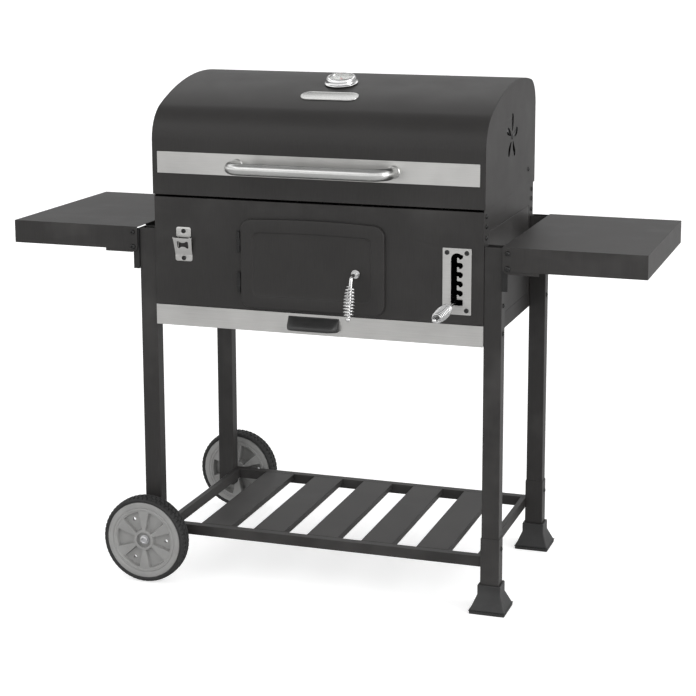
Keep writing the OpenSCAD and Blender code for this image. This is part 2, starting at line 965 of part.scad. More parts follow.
// Hinge brackets on the rear panel, with their pins
module lid_hinge_pins() {
    color(dark_paint)
        for (x = hinge_xs)
            union() {
                for (mid = [x - 17, x + 17]) {
                    block([mid - 4.5, back_y, hinge_z - 40], [mid + 4.5, back_y + 2, hinge_z - 5]);
                    block([mid - 4.5, back_y, hinge_z - 12], [mid + 4.5, hinge_y, hinge_z]);
                    bar_x(mid - 4.5, mid + 4.5, hinge_y, hinge_z, 5);
                }
                bar_x(x - 24, x + 22.5, hinge_y, hinge_z, bolt_r);
            }
}

// Warming rack: long wires on cross bars, with an eye at each end of its rear bar
module warming_rack() {
    z = rack_pivot_z;
    wire_r = 2;
    color(steel)
        union() {
            for (x = [-120, 120])
                bar_y(x, link_y - 4, rack_pivot_y - 12, z, 3);
            for (x = [-rack_half + 3, rack_half - 3])
                bar_y(x, link_y + 5, rack_pivot_y - 12, z, 3);
            for (i = [0:7])
                bar_x(-rack_half + 3, rack_half - 3, link_y + 12 + i * 17, z + 3, wire_r);
            both_sides()
                difference() {
                    union() {
                        block([rack_half - 6, rack_pivot_y - 14, z - 6],
                            [rack_half, rack_pivot_y, z + 6]);
                        bar_x(rack_half - 6, rack_half, rack_pivot_y, z, 6);
                        block([rack_half - 6, link_y - 6, z - 6], [rack_half, link_y + 6, z + 6]);
                    }
                    bar_x(rack_half - 8, rack_half + 8, rack_pivot_y, z, bolt_r + run);
                    bar_x(rack_half - 8, rack_half + 8, link_y, z, bolt_r + run);
                }
        }
}

// Links from the rack's front to the fire box, each with its two pins
module rack_links() {
    foot = [hinge_y - rack_pivot_y, hinge_z - rack_pivot_z];
    x0 = rack_half + 2;
    color(steel)
        both_sides() {
            bar([x0 + 3, link_y, rack_pivot_z], [x0 + 3, link_y + foot[0], rack_pivot_z + foot[1]], 2.6);
            bar_x(x0, x0 + 6, link_y, rack_pivot_z, 5);
            bar_x(rack_half - 7, x0, link_y, rack_pivot_z, bolt_r);
            bar_x(x0, x0 + 6, link_y + foot[0], rack_pivot_z + foot[1], 5);
        }
}

// ---- Charcoal door ----

// Dished door: a front sheet with a pressed field and a folded rim
module charcoal_door() {
    color(paint)
        difference() {
            rounded_panel(door_left, door_right, door_bottom, door_top, door_r,
                door_face, door_back - door_face);
            rounded_panel(door_left + sheet, door_right - sheet, door_bottom + sheet, door_top - sheet,
                door_r - sheet, door_face + 3, 10);
            rounded_panel(door_left + 30, door_right - 31, door_bottom + 29, door_top - 31, 12,
                door_face - 1, 2.2);
            bar_y(latch_x, door_face - 1, door_back + 1, latch_z, lever_r + run);
        }
}

// Middle knuckles, joined to the door's edge
module door_hinge_leaves() {
    third = knuckle_h / 3;
    color(dark_paint)
        for (z = knuckle_zs)
            difference() {
                union() {
                    bar_z(door_hinge_x, door_hinge_y, z + third + 0.3, z + 2 * third - 0.3, 3.8);
                    block([door_hinge_x, door_hinge_y - 1.5, z + third + 0.3],
                        [door_left, door_hinge_y + 1.5, z + 2 * third - 0.3]);
                }
                bar_z(door_hinge_x, door_hinge_y, z - 1, z + knuckle_h + 1, 2 + run);
            }
}

// Outer knuckles on the front panel, with their pins
module door_hinge_pins() {
    third = knuckle_h / 3;
    color(dark_paint)
        for (z = knuckle_zs)
            union() {
                for (k = [0, 2]) {
                    bar_z(door_hinge_x, door_hinge_y, z + k * third, z + (k + 1) * third, 3.8);
                    block([door_hinge_x - 3.8, door_hinge_y, z + k * third],
                        [door_hinge_x, front_y, z + (k + 1) * third]);
                }
                bar_z(door_hinge_x, door_hinge_y, z - 1, z + knuckle_h + 1, 2);
            }
}

// Latch: a spindle through the door, a rose, a bent rod that leans forwards and a tongue
// behind the door
module latch_handle() {
    tip = latch_end + latch_dir * (latch_neck + latch_grip_len + 4);
    color(chrome)
        union() {
            bar_y(latch_x, door_face - 2, door_face + 0.9, latch_z, 9.5);
            bar_y(latch_x, latch_bend_y, front_y + 14, latch_z, lever_r);
            translate([latch_x, latch_bend_y, latch_z - latch_bend])
                rotate([90, 0, 90])
                    rotate([0, 0, 90])
                        rotate_extrude(angle = 90 - latch_lean)
                            translate([latch_bend, 0])
                                circle(r = lever_r);
            bar(latch_end - latch_dir, tip, lever_r - 0.2);
            translate(tip)
                sphere(r = lever_r + 1);
            block([latch_x - 7, front_y + 6.5, latch_z - 7],
                [door_right - door_lap - 2, front_y + 9.5, latch_z + 7]);
        }
}

// A barrel-shaped spring grip along +Z from the origin
module spring_grip(length) {
    mid_r = 14.5;
    end_r = 9.5;
    steps = 8;
    side = [for (i = [0:steps])
        [end_r + (mid_r - end_r) * sin(180 * (0.08 + 0.84 * i / steps)), length * i / steps]];
    difference() {
        rotate_extrude()
            polygon(concat([[lever_r, 0]], side, [[lever_r, length]]));
        translate([0, 0, -1])
            cylinder(r = lever_r, h = length + 2);
    }
}

// Places a shape built along +Z so that it runs from a towards b
module aim(a, b) {
    d = b - a;
    translate(a)
        rotate([0, acos(d[2] / norm(d)), atan2(d[1], d[0])])
            children();
}

module latch_grip() {
    color(chrome)
        aim(latch_end + latch_dir * latch_neck, latch_end + latch_dir * (latch_neck + latch_grip_len))
            spring_grip(latch_grip_len);
}

// ---- Front fittings ----

// Bottle opener: an upper tab on the panel and a lower tongue that leans forwards
module bottle_opener() {
    x0 = -331;
    x1 = -289;
    t = 1.5;
    color(steel)
        difference() {
            union() {
                block([x0, front_y - t, 741], [x1, front_y, 756]);
                block([x0 + 6, front_y - t, 756], [x1 - 6, front_y, 818]);
                block([x0, front_y - t, 798], [x1, front_y, 818]);
                translate([x0 + 2, front_y, 756])
                    rotate([14, 0, 0])
                        translate([0, -t - 0.3, 0])
                            cube([x1 - x0 - 4, t, 42]);
            }
            front_screw_holes();
            translate([(x0 + x1) / 2, front_y, 756])
                rotate([14, 0, 0])
                    translate([0, 2, 22])
                        rotate([90, 0, 0])
                            cylinder(r = 9, h = 6);
        }
}

// Screws of the bottle opener and the height plate
module front_screws() {
    t = 1.5;
    color(steel)
        for (p = front_screw_places)
            front_bolt(p[0], front_y - t, p[1], 7);
}

// The slot of the height plate: a channel with a hooked notch for each height
module lever_slot(y0, y1) {
    top_y = slot_low + lift_travel;
    arch_r = (slot_right - slot_left) / 2;
    block([slot_left, y0, slot_low], [slot_mid, y1, top_y]);
    bar_y(slot_left + arch_r, y0, y1, top_y, arch_r);
    block([slot_mid - 3, y0, slot_low], [slot_right, y1, slot_low + 13]);
    for (i = [1:notches - 1]) {
        z = slot_low + i * notch_pitch;
        bar_y(slot_right - 6.5, y0, y1, z + 6.5, 6.5);
        block([slot_mid - 3, y0, z + 3.5], [slot_right - 6.5, y1, z + 13]);
    }
}

module adjuster_plate() {
    t = 1.5;
    color(steel)
        difference() {
            block([plate_left, front_y - t, plate_low], [plate_right, front_y, plate_high]);
            lever_slot(front_y - t - 1, front_y + 1);
            front_screw_holes();
        }
}

// Height lever: a rod through the slot, with an eye on the lift frame
module height_lever() {
    color(chrome)
        union() {
            difference() {
                bar_z(lever_in[0], lever_in[1], lever_in[2] - 5, lever_in[2] + 5, 9);
                bar_z(lever_in[0], lever_in[1], lever_in[2] - 6, lever_in[2] + 6, bolt_r + run);
            }
            bar(lever_in + lever_dir * 7, lever_tip, lever_r - 0.2);
            translate(lever_tip)
                sphere(r = lever_r + 1);
        }
}

module lever_grip() {
    end = lever_tip - lever_dir * 6;
    color(chrome)
        aim(end - lever_dir * grip_len, end)
            spring_grip(grip_len);
}

// ---- Inside the fire box ----

// Flat bars under the pan, tabs that slide in the rear guides, and the lever's post
module pan_lift_frame() {
    low = pan_low - 5;
    y0 = lever_in[1] - 10;
    y1 = back_y - 40;
    color(dark_paint) {
        union() {
            block([-300, y0, low], [340, y0 + 20, low + 4]);
            bar_z(lever_in[0], lever_in[1], low + 2, lever_in[2] + 9, bolt_r);
        }
        block([-300, y1, low], [300, y1 + 20, low + 4]);
        both_sides()
            block([270, y0 + 20, low], [290, y1, low + 4]);
        for (x = guide_xs)
            block([x - 3, y1 + 20, low - 14], [x + 3, back_y - 3, low + 4]);
    }
}

// An open enamelled pan
module charcoal_pan() {
    t = 1.2;
    low = pan_low - 1;
    rim = low + pan_h;
    x0 = -pan_half;
    x1 = pan_half - 30;
    color(enamel)
        difference() {
            union() {
                block([x0, pan_front, low], [x1, pan_back, rim]);
                block([x0 - 12, pan_front - 10, rim - t], [x1 + 12, pan_back + 10, rim]);
            }
            block([x0 + t, pan_front + t, low + t], [x1 - t, pan_back - t, rim + 1]);
        }
}

// Slotted grate that keeps the charcoal off the pan's floor
module charcoal_grate() {
    x0 = -pan_half + 5;
    x1 = pan_half - 35;
    y0 = pan_front + 5;
    y1 = pan_back - 5;
    low = pan_low + 0.5;
    pitch = 20;
    color(enamel)
        difference() {
            block([x0, y0, low], [x1, y1, low + 14]);
            block([x0 + 4, y0 + 4, low - 1], [x1 - 4, y1 - 4, low + 10]);
            for (x = [x0 + 8:pitch:x1 - 20])
                block([x, y0 + 8, low + 5], [x + 14, y1 - 8, low + 20]);
        }
}

// Two cast grates side by side
module cooking_grates() {
    gap = 1;
    y0 = front_y + 6;
    y1 = back_y - 6;
    w = half_w - 2 * sheet - 4 - gap;
    pitch = 18;
    color(enamel)
        both_sides()
            difference() {
                block([gap, y0, grate_z + 0.3], [gap + w, y1, grate_z + grate_t]);
                for (x = [gap + 8:pitch:gap + w - 16])
                    for (y = [y0 + 8, (y0 + y1) / 2 + 4])
                        block([x, y, grate_z - 1],
                            [x + 11, y + (y1 - y0) / 2 - 12, grate_z + grate_t + 1]);
            }
}

// Ash drawer
module ash_tray() {
    t = 1;
    y0 = front_y + 1.2;
    y1 = back_y - 12;
    color(enamel)
        difference() {
            block([-tray_half, y0, tray_low], [tray_half, y1, tray_low + tray_h]);
            block([-tray_half + t, y0 + t, tray_low + t],
                [tray_half - t, y1 - t, tray_low + tray_h + 1]);
        }
}

module drawer_front() {
    color(steel)
        block([-half_w, front_y - 0.2, drawer_bottom], [half_w, front_y + 1.2, panel_bottom - 1]);
}

// Scooped pull: a back plate with a lip that the fingers go under
module drawer_pull() {
    x0 = -62;
    x1 = 55;
    face = front_y - 0.2;
    color(black_plastic)
        difference() {
            along_x(x0, x1)
                polygon([[face, 604], [face - 3, 604], [face - 26, 607], [face - 30, 612], [face - 28, 617],
                    [face - 6, 631], [face, 633]]);
            along_x(x0 + 6, x1 - 6)
                polygon([[face - 4, 600], [face - 23, 600], [face - 24, 612], [face - 8, 624],
                    [face - 4, 624]]);
        }
}

front_left_leg();
rear_left_leg();
front_right_leg();
rear_right_leg();
leg_sleeves();
leg_feet();
frame_rails();
shelf_slats();
axle();
front_tyre();
rear_tyre();
front_hub();
rear_hub();
front_panel();
rear_panel();
left_side_panel();
right_side_panel();
inner_rails();
panel_bolts();
left_shelf();
right_shelf();
left_lock_bolts();
right_lock_bolts();
shelf_brackets();
shelf_pivot_bolts();
lid_shell();
lid_left_end();
lid_right_end();
lid_band();
lid_handle();
lid_fasteners();
thermometer_case();
thermometer_dial();
thermometer_glass();
thermometer_needle();
name_plate();
left_vent_disc();
right_vent_disc();
lid_hinge_leaves();
lid_hinge_pins();
warming_rack();
rack_links();
charcoal_door();
door_hinge_leaves();
door_hinge_pins();
latch_handle();
latch_grip();
bottle_opener();
front_screws();
adjuster_plate();
height_lever();
lever_grip();
pan_lift_frame();
charcoal_pan();
charcoal_grate();
cooking_grates();
ash_tray();
drawer_front();
drawer_pull();
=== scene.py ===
import bmesh
import bpy
import json
import math
from mathutils import Matrix, Vector


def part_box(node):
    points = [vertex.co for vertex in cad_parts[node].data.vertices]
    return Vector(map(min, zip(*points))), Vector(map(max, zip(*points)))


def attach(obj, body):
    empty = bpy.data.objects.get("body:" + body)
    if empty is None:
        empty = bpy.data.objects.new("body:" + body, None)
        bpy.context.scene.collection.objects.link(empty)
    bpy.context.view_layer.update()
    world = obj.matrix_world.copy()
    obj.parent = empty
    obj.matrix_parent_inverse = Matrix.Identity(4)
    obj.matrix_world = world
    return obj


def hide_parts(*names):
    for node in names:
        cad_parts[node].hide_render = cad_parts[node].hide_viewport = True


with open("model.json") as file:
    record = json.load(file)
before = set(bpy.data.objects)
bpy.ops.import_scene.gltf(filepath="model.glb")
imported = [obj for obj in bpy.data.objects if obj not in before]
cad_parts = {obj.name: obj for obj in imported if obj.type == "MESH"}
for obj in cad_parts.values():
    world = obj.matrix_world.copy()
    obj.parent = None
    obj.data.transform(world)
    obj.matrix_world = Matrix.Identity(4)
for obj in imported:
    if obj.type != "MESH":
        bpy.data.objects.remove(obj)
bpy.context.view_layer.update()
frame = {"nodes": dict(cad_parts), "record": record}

# Names of the record: which body and which material slot each CAD node has
RECORD = frame["record"]
BODY_OF = {n: b for b, nodes in RECORD["behaviour"]["bodies"].items() for n in nodes}
SLOT_OF = {s["node"]: s["material_slot"] for s in RECORD["subparts"]}
DONE = set()

# Main places of the CAD model, in metres
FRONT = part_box("front_panel")[0].y
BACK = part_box("rear_panel")[1].y
HALF_W = 0.380
LID_HALF = 0.3825
LID_FRONT = FRONT - 0.0015
LID_REAR = BACK + 0.0025
LID_LOW = 0.8895
SHEET = 0.0015
VENT_Y, VENT_Z, VENT_R = FRONT + 0.230, 1.019, 0.052
CROWN_R, CROWN_Y, CROWN_Z = 0.594, FRONT + 0.300, 1.1427 - 0.594
HANDLE_Z, HANDLE_HALF, HANDLE_OUT, HANDLE_BEND, HANDLE_R = 0.962, 0.180, 0.067, 0.035, 0.013
AXLE_X, WHEEL_R, WHEEL_T = -0.396, 0.100, 0.040
FRONT_WHEEL_Y = FRONT - 0.067
REAR_WHEEL_Y = FRONT + 0.489


# ---- Materials ----

class Nodes:
    """Short calls for building a node material."""

    def __init__(self, name):
        self.mat = bpy.data.materials.new(name)
        self.mat.use_nodes = True
        self.tree = self.mat.node_tree
        self.bsdf = self.tree.nodes["Principled BSDF"]
        self.coords = self.tree.nodes.new("ShaderNodeTexCoord")

    def add(self, kind, **inputs):
        node = self.tree.nodes.new(kind)
        for key, value in inputs.items():
            self.put(node, key.replace("_", " "), value)
        return node

    def put(self, node, socket, value):
        if hasattr(value, "is_output"):
            self.tree.links.new(value, node.inputs[socket])
        else:
            node.inputs[socket].default_value = value

    def scaled(self, scale, rotation=(0, 0, 0)):
        node = self.add("ShaderNodeMapping", Vector=self.coords.outputs["Object"])
        node.inputs["Scale"].default_value = scale
        node.inputs["Rotation"].default_value = rotation
        return node.outputs["Vector"]

    def noise(self, scale, vector, detail=4.0, roughness=0.6):
        node = self.add("ShaderNodeTexNoise", Vector=vector, Scale=scale, Detail=detail,
                        Roughness=roughness)
        return node.outputs["Fac"]

    def span(self, value, low, high, out_low, out_high):
        node = self.add("ShaderNodeMapRange")
        for key, v in zip(("From Min", "From Max", "To Min", "To Max"), (low, high, out_low, out_high)):
            node.inputs[key].default_value = v
        self.put(node, "Value", value)
        return node.outputs["Result"]

    def mix(self, fac, a, b):
        node = self.tree.nodes.new("ShaderNodeMix")
        node.data_type = "RGBA"
        for i, v in ((0, fac), (6, a), (7, b)):
            if hasattr(v, "is_output"):
                self.tree.links.new(v, node.inputs[i])
            else:
                node.inputs[i].default_value = v if i == 0 else (*v, 1.0)
        return node.outputs[2]

    def math(self, operation, a, b):
        node = self.tree.nodes.new("ShaderNodeMath")
        node.operation = operation
        for i, v in enumerate((a, b)):
            if hasattr(v, "is_output"):
                self.tree.links.new(v, node.inputs[i])
            else:
                node.inputs[i].default_value = v
        return node.outputs[0]

    def edges(self, low=0.52, high=0.60):
        """A mask that is 1 on convex edges."""
        geometry = self.add("ShaderNodeNewGeometry")
        return self.span(geometry.outputs["Pointiness"], low, high, 0.0, 1.0)

    def bump(self, height, strength, distance=0.001):
        node = self.add("ShaderNodeBump", Height=height, Strength=strength, Distance=distance)
        self.put(self.bsdf, "Normal", node.outputs["Normal"])

    def shader(self, **inputs):
        for key, value in inputs.items():
            self.put(self.bsdf, key.replace("_", " "), value)
        return self.mat


def painted(name, dark, light, roughness, worn):
    """Heat-proof satin paint: fine upright streaks, a faint orange peel and slightly worn edges."""
    n = Nodes(name)
    streak = n.noise(1.0, n.scaled((900, 900, 26)), 3.0)
    cloud = n.noise(7.0, n.scaled((1, 1, 1)), 3.0)
    grain = n.noise(1500.0, n.scaled((1, 1, 1)), 2.0)
    tone = n.math("ADD", n.math("MULTIPLY", streak, 0.6), n.math("MULTIPLY", cloud, 0.4))
    colour = n.mix(n.span(tone, 0.36, 0.64, 0.0, 1.0), dark, light)
    wear = n.math("MULTIPLY", n.edges(), n.span(cloud, 0.45, 0.7, 0.05, 0.55))
    colour = n.mix(wear, colour, worn)
    n.bump(n.math("ADD", n.math("MULTIPLY", grain, 0.5), n.math("MULTIPLY", streak, 0.5)), 0.10, 0.0006)
    rough = n.span(n.math("ADD", cloud, n.math("MULTIPLY", streak, 0.5)), 0.5, 1.0, roughness - 0.05,
                   roughness + 0.06)
    return n.shader(Base_Color=colour, Roughness=rough, Metallic=0.0, Specular_IOR_Level=0.27)


def brushed(name, dark, light, roughness, scale, bump=0.08):
    """Brushed metal; scale is small along the brushing."""
    n = Nodes(name)
    line = n.noise(1.0, n.scaled(scale), 4.0, 0.7)
    broad = n.noise(9.0, n.scaled((1, 1, 1)), 2.0)
    tone = n.math("ADD", n.math("MULTIPLY", line, 0.65), n.math("MULTIPLY", broad, 0.35))
    colour = n.mix(n.span(tone, 0.35, 0.65, 0.0, 1.0), dark, light)
    n.bump(line, bump, 0.0004)
    rough = n.span(tone, 0.3, 0.7, roughness - 0.06, roughness + 0.08)
    return n.shader(Base_Color=colour, Roughness=rough, Metallic=1.0)


def polished(name, colour, roughness):
    """Bright plated metal with faint hairlines and smudges."""
    n = Nodes(name)
    smudge = n.noise(35.0, n.scaled((1, 1, 1)), 4.0)
    hair = n.noise(1.0, n.scaled((1200, 400, 1200)), 2.0)
    tint = n.mix(n.span(smudge, 0.3, 0.7, 0.0, 1.0), tuple(c * 0.93 for c in colour), colour)
    n.bump(hair, 0.03, 0.0003)
    return n.shader(Base_Color=tint, Roughness=n.span(smudge, 0.3, 0.75, roughness, roughness + 0.10),
                    Metallic=1.0)


def moulded(name, dark, light, roughness, grain_scale, bump):
    """Moulded plastic or rubber with a fine grain and scuffed edges."""
    n = Nodes(name)
    grain = n.noise(grain_scale, n.scaled((1, 1, 1)), 3.0)
    cloud = n.noise(18.0, n.scaled((1, 1, 1)), 3.0)
    colour = n.mix(n.span(cloud, 0.35, 0.65, 0.0, 1.0), dark, light)
    colour = n.mix(n.math("MULTIPLY", n.edges(), 0.25), colour,
                   tuple(min(1.0, c * 1.6 + 0.02) for c in light))
    n.bump(grain, bump, 0.0005)
    return n.shader(Base_Color=colour, Roughness=n.span(cloud, 0.3, 0.7, roughness - 0.05,
            roughness + 0.07))


def enamelled(name):
    """Black porcelain enamel with a slight orange peel and specks."""
    n = Nodes(name)
    peel = n.noise(220.0, n.scaled((1, 1, 1)), 2.0)
    specks = n.noise(900.0, n.scaled((1, 1, 1)), 1.0)
    colour = n.mix(n.span(specks, 0.62, 0.72, 0.0, 1.0), (0.012, 0.012, 0.013), (0.05, 0.05, 0.052))
    n.bump(peel, 0.12, 0.0008)
    return n.shader(Base_Color=colour, Roughness=n.span(peel, 0.3, 0.7, 0.22, 0.36), Coat_Weight=0.25,
                    Coat_Roughness=0.12)


def gauge_glass(name):
    n = Nodes(name)
    smear = n.noise(60.0, n.scaled((1, 1, 1)), 2.0)
    rough = n.span(smear, 0.3, 0.8, 0.01, 0.06)
    return n.shader(Base_Color=(0.93, 0.96, 0.96, 1), Roughness=rough, Transmission_Weight=0.95, IOR=1.45,
                    Alpha=0.35)


def printed(name, colour):
    """Matt printed face with a faint paper-like grain."""
    n = Nodes(name)
    grain = n.noise(1800.0, n.scaled((1, 1, 1)), 2.0)
    tint = n.mix(n.span(grain, 0.3, 0.7, 0.0, 1.0), tuple(c * 0.92 for c in colour), colour)
    n.bump(grain, 0.05, 0.0002)
    return n.shader(Base_Color=tint, Roughness=n.span(grain, 0.3, 0.7, 0.5, 0.62))


MATERIALS = {
    "painted_steel": painted("charcoal_paint", (0.0245, 0.0232, 0.0226), (0.0325, 0.0310, 0.0302), 0.44,
                             (0.080, 0.077, 0.075)),
    "dark_steel": painted("dark_paint", (0.011, 0.011, 0.011), (0.017, 0.017, 0.017), 0.46,
                          (0.06, 0.06, 0.06)),
    "brushed_steel": brushed("brushed_stainless", (0.49, 0.485, 0.475), (0.64, 0.635, 0.62), 0.33,
                             (14, 2600, 2600)),
    "chrome": polished("bright_plating", (0.74, 0.74, 0.74), 0.12),
    "zinc": polished("zinc_plating", (0.62, 0.62, 0.63), 0.24),
    "dial_white": printed("dial_face", (0.80, 0.80, 0.77)),
    "needle_red": printed("needle_paint", (0.55, 0.03, 0.02)),
    "gauge_glass": gauge_glass("clear_glass"),
    "enamel": enamelled("black_enamel"),
    "tyre_rubber": moulded("tyre_rubber", (0.014, 0.014, 0.014), (0.024, 0.024, 0.024), 0.70, 1400.0, 0.30),
    "grey_plastic": moulded("hub_plastic", (0.275, 0.273, 0.268), (0.32, 0.318, 0.312), 0.46, 1100.0, 0.10),
    "black_plastic": moulded("black_plastic", (0.014, 0.014, 0.014), (0.026, 0.026, 0.026), 0.42, 900.0,
                             0.22),
}
SATIN = brushed("satin_tube", (0.48, 0.48, 0.47), (0.62, 0.62, 0.61), 0.27, (12, 1800, 1800), 0.05)
BLACK_ZINC = polished("black_zinc", (0.05, 0.05, 0.05), 0.34)


# ---- Mesh helpers ----

def new_object(name, mesh):
    obj = bpy.data.objects.new(name, mesh)
    bpy.context.scene.collection.objects.link(obj)
    return obj


def smooth(mesh, angle=35.0):
    for p in mesh.polygons:
        p.use_smooth = True
    mesh.set_sharp_from_angle(angle=math.radians(angle))


def mesh_from(name, verts, faces, angle=35.0):
    mesh = bpy.data.meshes.new(name)
    mesh.from_pydata([tuple(v) for v in verts], [], faces)
    mesh.validate()
    bm = bmesh.new()
    bm.from_mesh(mesh)
    bmesh.ops.recalc_face_normals(bm, faces=bm.faces)
    bm.to_mesh(mesh)
    bm.free()
    smooth(mesh, angle)
    return mesh


def rounded(obj, width, segments=2, angle=40.0):
    """Rounds the edges with a bevel."""
    mod = obj.modifiers.new("edge", "BEVEL")
    mod.width = width
    mod.segments = segments
    mod.limit_method = "ANGLE"
    mod.angle_limit = math.radians(angle)
    mod.use_clamp_overlap = False
    mod.harden_normals = True
    return obj


def piece(obj, nodes, slot=None, material=None):
    """Gives a piece its material (its slot's unless one is given) and the body it rides on, and hides the
    CAD nodes it stands for.
    """
    nodes = [nodes] if isinstance(nodes, str) else list(nodes)
    slot = slot or SLOT_OF[nodes[0]]
    obj.data.materials.clear()
    obj.data.materials.append(material or MATERIALS[slot])
    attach(obj, BODY_OF[nodes[0]])
    fresh = [n for n in nodes if n not in DONE]
    if fresh:
        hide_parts(*fresh)
        DONE.update(fresh)
    return obj


def part_of(obj, node, slot, material=None):
    """A detail that rides with a node's body and stands for no node of its own."""
    obj.data.materials.clear()
    obj.data.materials.append(material or MATERIALS[slot])
    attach(obj, BODY_OF[node])
    return obj


def soften(node, width, segments=2, material=None):
    """The CAD node's own shape with rounded edges."""
    bm = bmesh.new()
    bm.from_mesh(frame["nodes"][node].data)
    bmesh.ops.remove_doubles(bm, verts=bm.verts, dist=2e-5)
    bmesh.ops.dissolve_limit(bm, angle_limit=math.radians(0.8), verts=bm.verts, edges=bm.edges)
    mesh = bpy.data.meshes.new(node + "_edges")
    bm.to_mesh(mesh)
    bm.free()
    smooth(mesh, 32.0)
    obj = new_object(node + "_finish", mesh)
    rounded(obj, width, segments)
    return piece(obj, node, material=material)


def revolve(name, profile, steps, matrix, closed=False, angle=32.0):
    """Turns a profile about Z. A point is (r, z) or (r, z, shape), where shape(theta) gives (dr, dz)."""
    verts, faces = [], []
    count = len(profile)
    for i in range(steps):
        a = 2 * math.pi * i / steps
        for p in profile:
            dr, dz = p[2](a) if len(p) > 2 else (0.0, 0.0)
            r = p[0] + dr
            verts.append(matrix @ Vector((r * math.cos(a), r * math.sin(a), p[1] + dz)))
    last = count if closed else count - 1
    for i in range(steps):
        j = (i + 1) % steps
        for k in range(last):
            m = (k + 1) % count
            faces.append((i * count + k, j * count + k, j * count + m, i * count + m))
    mesh = mesh_from(name, verts, faces, angle)
    bm = bmesh.new()
    bm.from_mesh(mesh)
    bmesh.ops.remove_doubles(bm, verts=bm.verts, dist=1e-7)
    bmesh.ops.recalc_face_normals(bm, faces=bm.faces)
    bm.to_mesh(mesh)
    bm.free()
    smooth(mesh, angle)
    return new_object(name, mesh)


def tube(name, points, radius, sides=20, caps=True, radii=None):
    """A round bar along a path; radii scales the radius point by point."""
    pts = [Vector(p) for p in points]
    verts, faces = [], []
    normal = None
    for i, p in enumerate(pts):
        ahead = (pts[min(i + 1, len(pts) - 1)] - pts[max(i - 1, 0)]).normalized()
        if normal is None:
            normal = ahead.orthogonal().normalized()
        normal = (normal - ahead * normal.dot(ahead)).normalized()
        side = ahead.cross(normal)
        r = radius * (radii[i] if radii else 1.0)
        for k in range(sides):
            a = 2 * math.pi * k / sides
            verts.append(p + (normal * math.cos(a) + side * math.sin(a)) * r)
    for i in range(len(pts) - 1):
        for k in range(sides):
            m = (k + 1) % sides
            faces.append((i * sides + k, i * sides + m, (i + 1) * sides + m, (i + 1) * sides + k))
    if caps:
        faces.append(tuple(range(sides))[::-1])
        faces.append(tuple((len(pts) - 1) * sides + k for k in range(sides)))
    return new_object(name, mesh_from(name, verts, faces, 50.0))


def sheet_piece(name, outline, holes, thickness, edge, matrix):
    """A flat plate in the local XY plane from z = 0 to z = thickness, with holes and rounded edges."""
    curve = bpy.data.curves.new(name, "CURVE")
    curve.dimensions = "2D"
    curve.fill_mode = "BOTH"
    curve.extrude = thickness / 2 - edge
    curve.bevel_depth = edge
    curve.bevel_resolution = 2
    curve.offset = -edge
    for loop in [outline, *holes]:
        spline = curve.splines.new("POLY")
        spline.points.add(len(loop) - 1)
        for point, co in zip(spline.points, loop):
            point.co = (co[0], co[1], 0, 1)
        spline.use_cyclic_u = True
    temp = new_object(name + "_curve", curve)
    bpy.context.view_layer.update()
    mesh = bpy.data.meshes.new_from_object(temp.evaluated_get(bpy.context.evaluated_depsgraph_get()))
    bpy.data.objects.remove(temp)
    bm = bmesh.new()
    bm.from_mesh(mesh)
    bmesh.ops.remove_doubles(bm, verts=bm.verts, dist=1e-6)
    bmesh.ops.recalc_face_normals(bm, faces=bm.faces)
    bm.to_mesh(mesh)
    bm.free()
    mesh.transform(matrix @ Matrix.Translation((0, 0, thickness / 2)))
    smooth(mesh, 12.0)
    return new_object(name, mesh)


def join(name, objects):
    bm = bmesh.new()
    for o in objects:
        mesh = bpy.data.meshes.new_from_object(o.evaluated_get(bpy.context.evaluated_depsgraph_get()))
        bm.from_mesh(mesh)
    mesh = bpy.data.meshes.new(name)
    bm.to_mesh(mesh)
    bm.free()
    for o in objects:
        bpy.data.objects.remove(o)
    smooth(mesh, 40.0)
    return new_object(name, mesh)


def arc(cy, cz, r, a0, a1, n):
    step = (a1 - a0) / n
    return [(cy + r * math.cos(a0 + step * i), cz + r * math.sin(a0 + step * i)) for i in range(n + 1)]


def circle(x, y, r, n=40):
    return arc(x, y, r, 0, 2 * math.pi * (n - 1) / n, n - 1)


def round_rect(x0, x1, y0, y1, r, n=8):
    pts = []
    for cx, cy, a in ((x1 - r, y1 - r, 0), (x0 + r, y1 - r, 90), (x0 + r, y0 + r, 180),
                      (x1 - r, y0 + r, 270)):
        pts += arc(cx, cy, r, math.radians(a), math.radians(a + 90), n)
    return pts


def split_long(points, parts=12):
    """Adds points along the four straight sides of a rounded rectangle."""
    out = []
    corner = len(points) // 4
    for i, p in enumerate(points):
        out.append(p)
        if i % corner == corner - 1:
            q = points[(i + 1) % len(points)]
            out += [(p[0] + (q[0] - p[0]) * k / parts, p[1] + (q[1] - p[1]) * k / parts)
                    for k in range(1, parts)]
    return out


def closed_curve(points, n=6):
    """A smooth closed curve through the points (Catmull-Rom)."""
    out = []
    for i in range(len(points)):
        p = [Vector(points[(i + k - 1) % len(points)]) for k in range(4)]
        for s in range(n):
            t = s / n
            out.append(tuple(0.5 * (2 * p[1] + (p[2] - p[0]) * t
                                    + (2 * p[0] - 5 * p[1] + 4 * p[2] - p[3]) * t * t
                                    + (3 * p[1] - p[0] - 3 * p[2] + p[3]) * t ** 3)))
    return out


def axes(origin, x, y, z):
    m = Matrix((x, y, z)).transposed().to_4x4()
    m.translation = Vector(origin)
    return m


def facing_front(y):
    """Local X, Y, Z become +X, +Z and -Y; the plate's back lies on y."""
    return axes((0, y, 0), (1, 0, 0), (0, 0, 1), (0, -1, 0))


def facing_side(x):
    """Local X, Y, Z become +Y, +Z and +X."""
    return axes((x, 0, 0), (0, 1, 0), (0, 0, 1), (1, 0, 0))


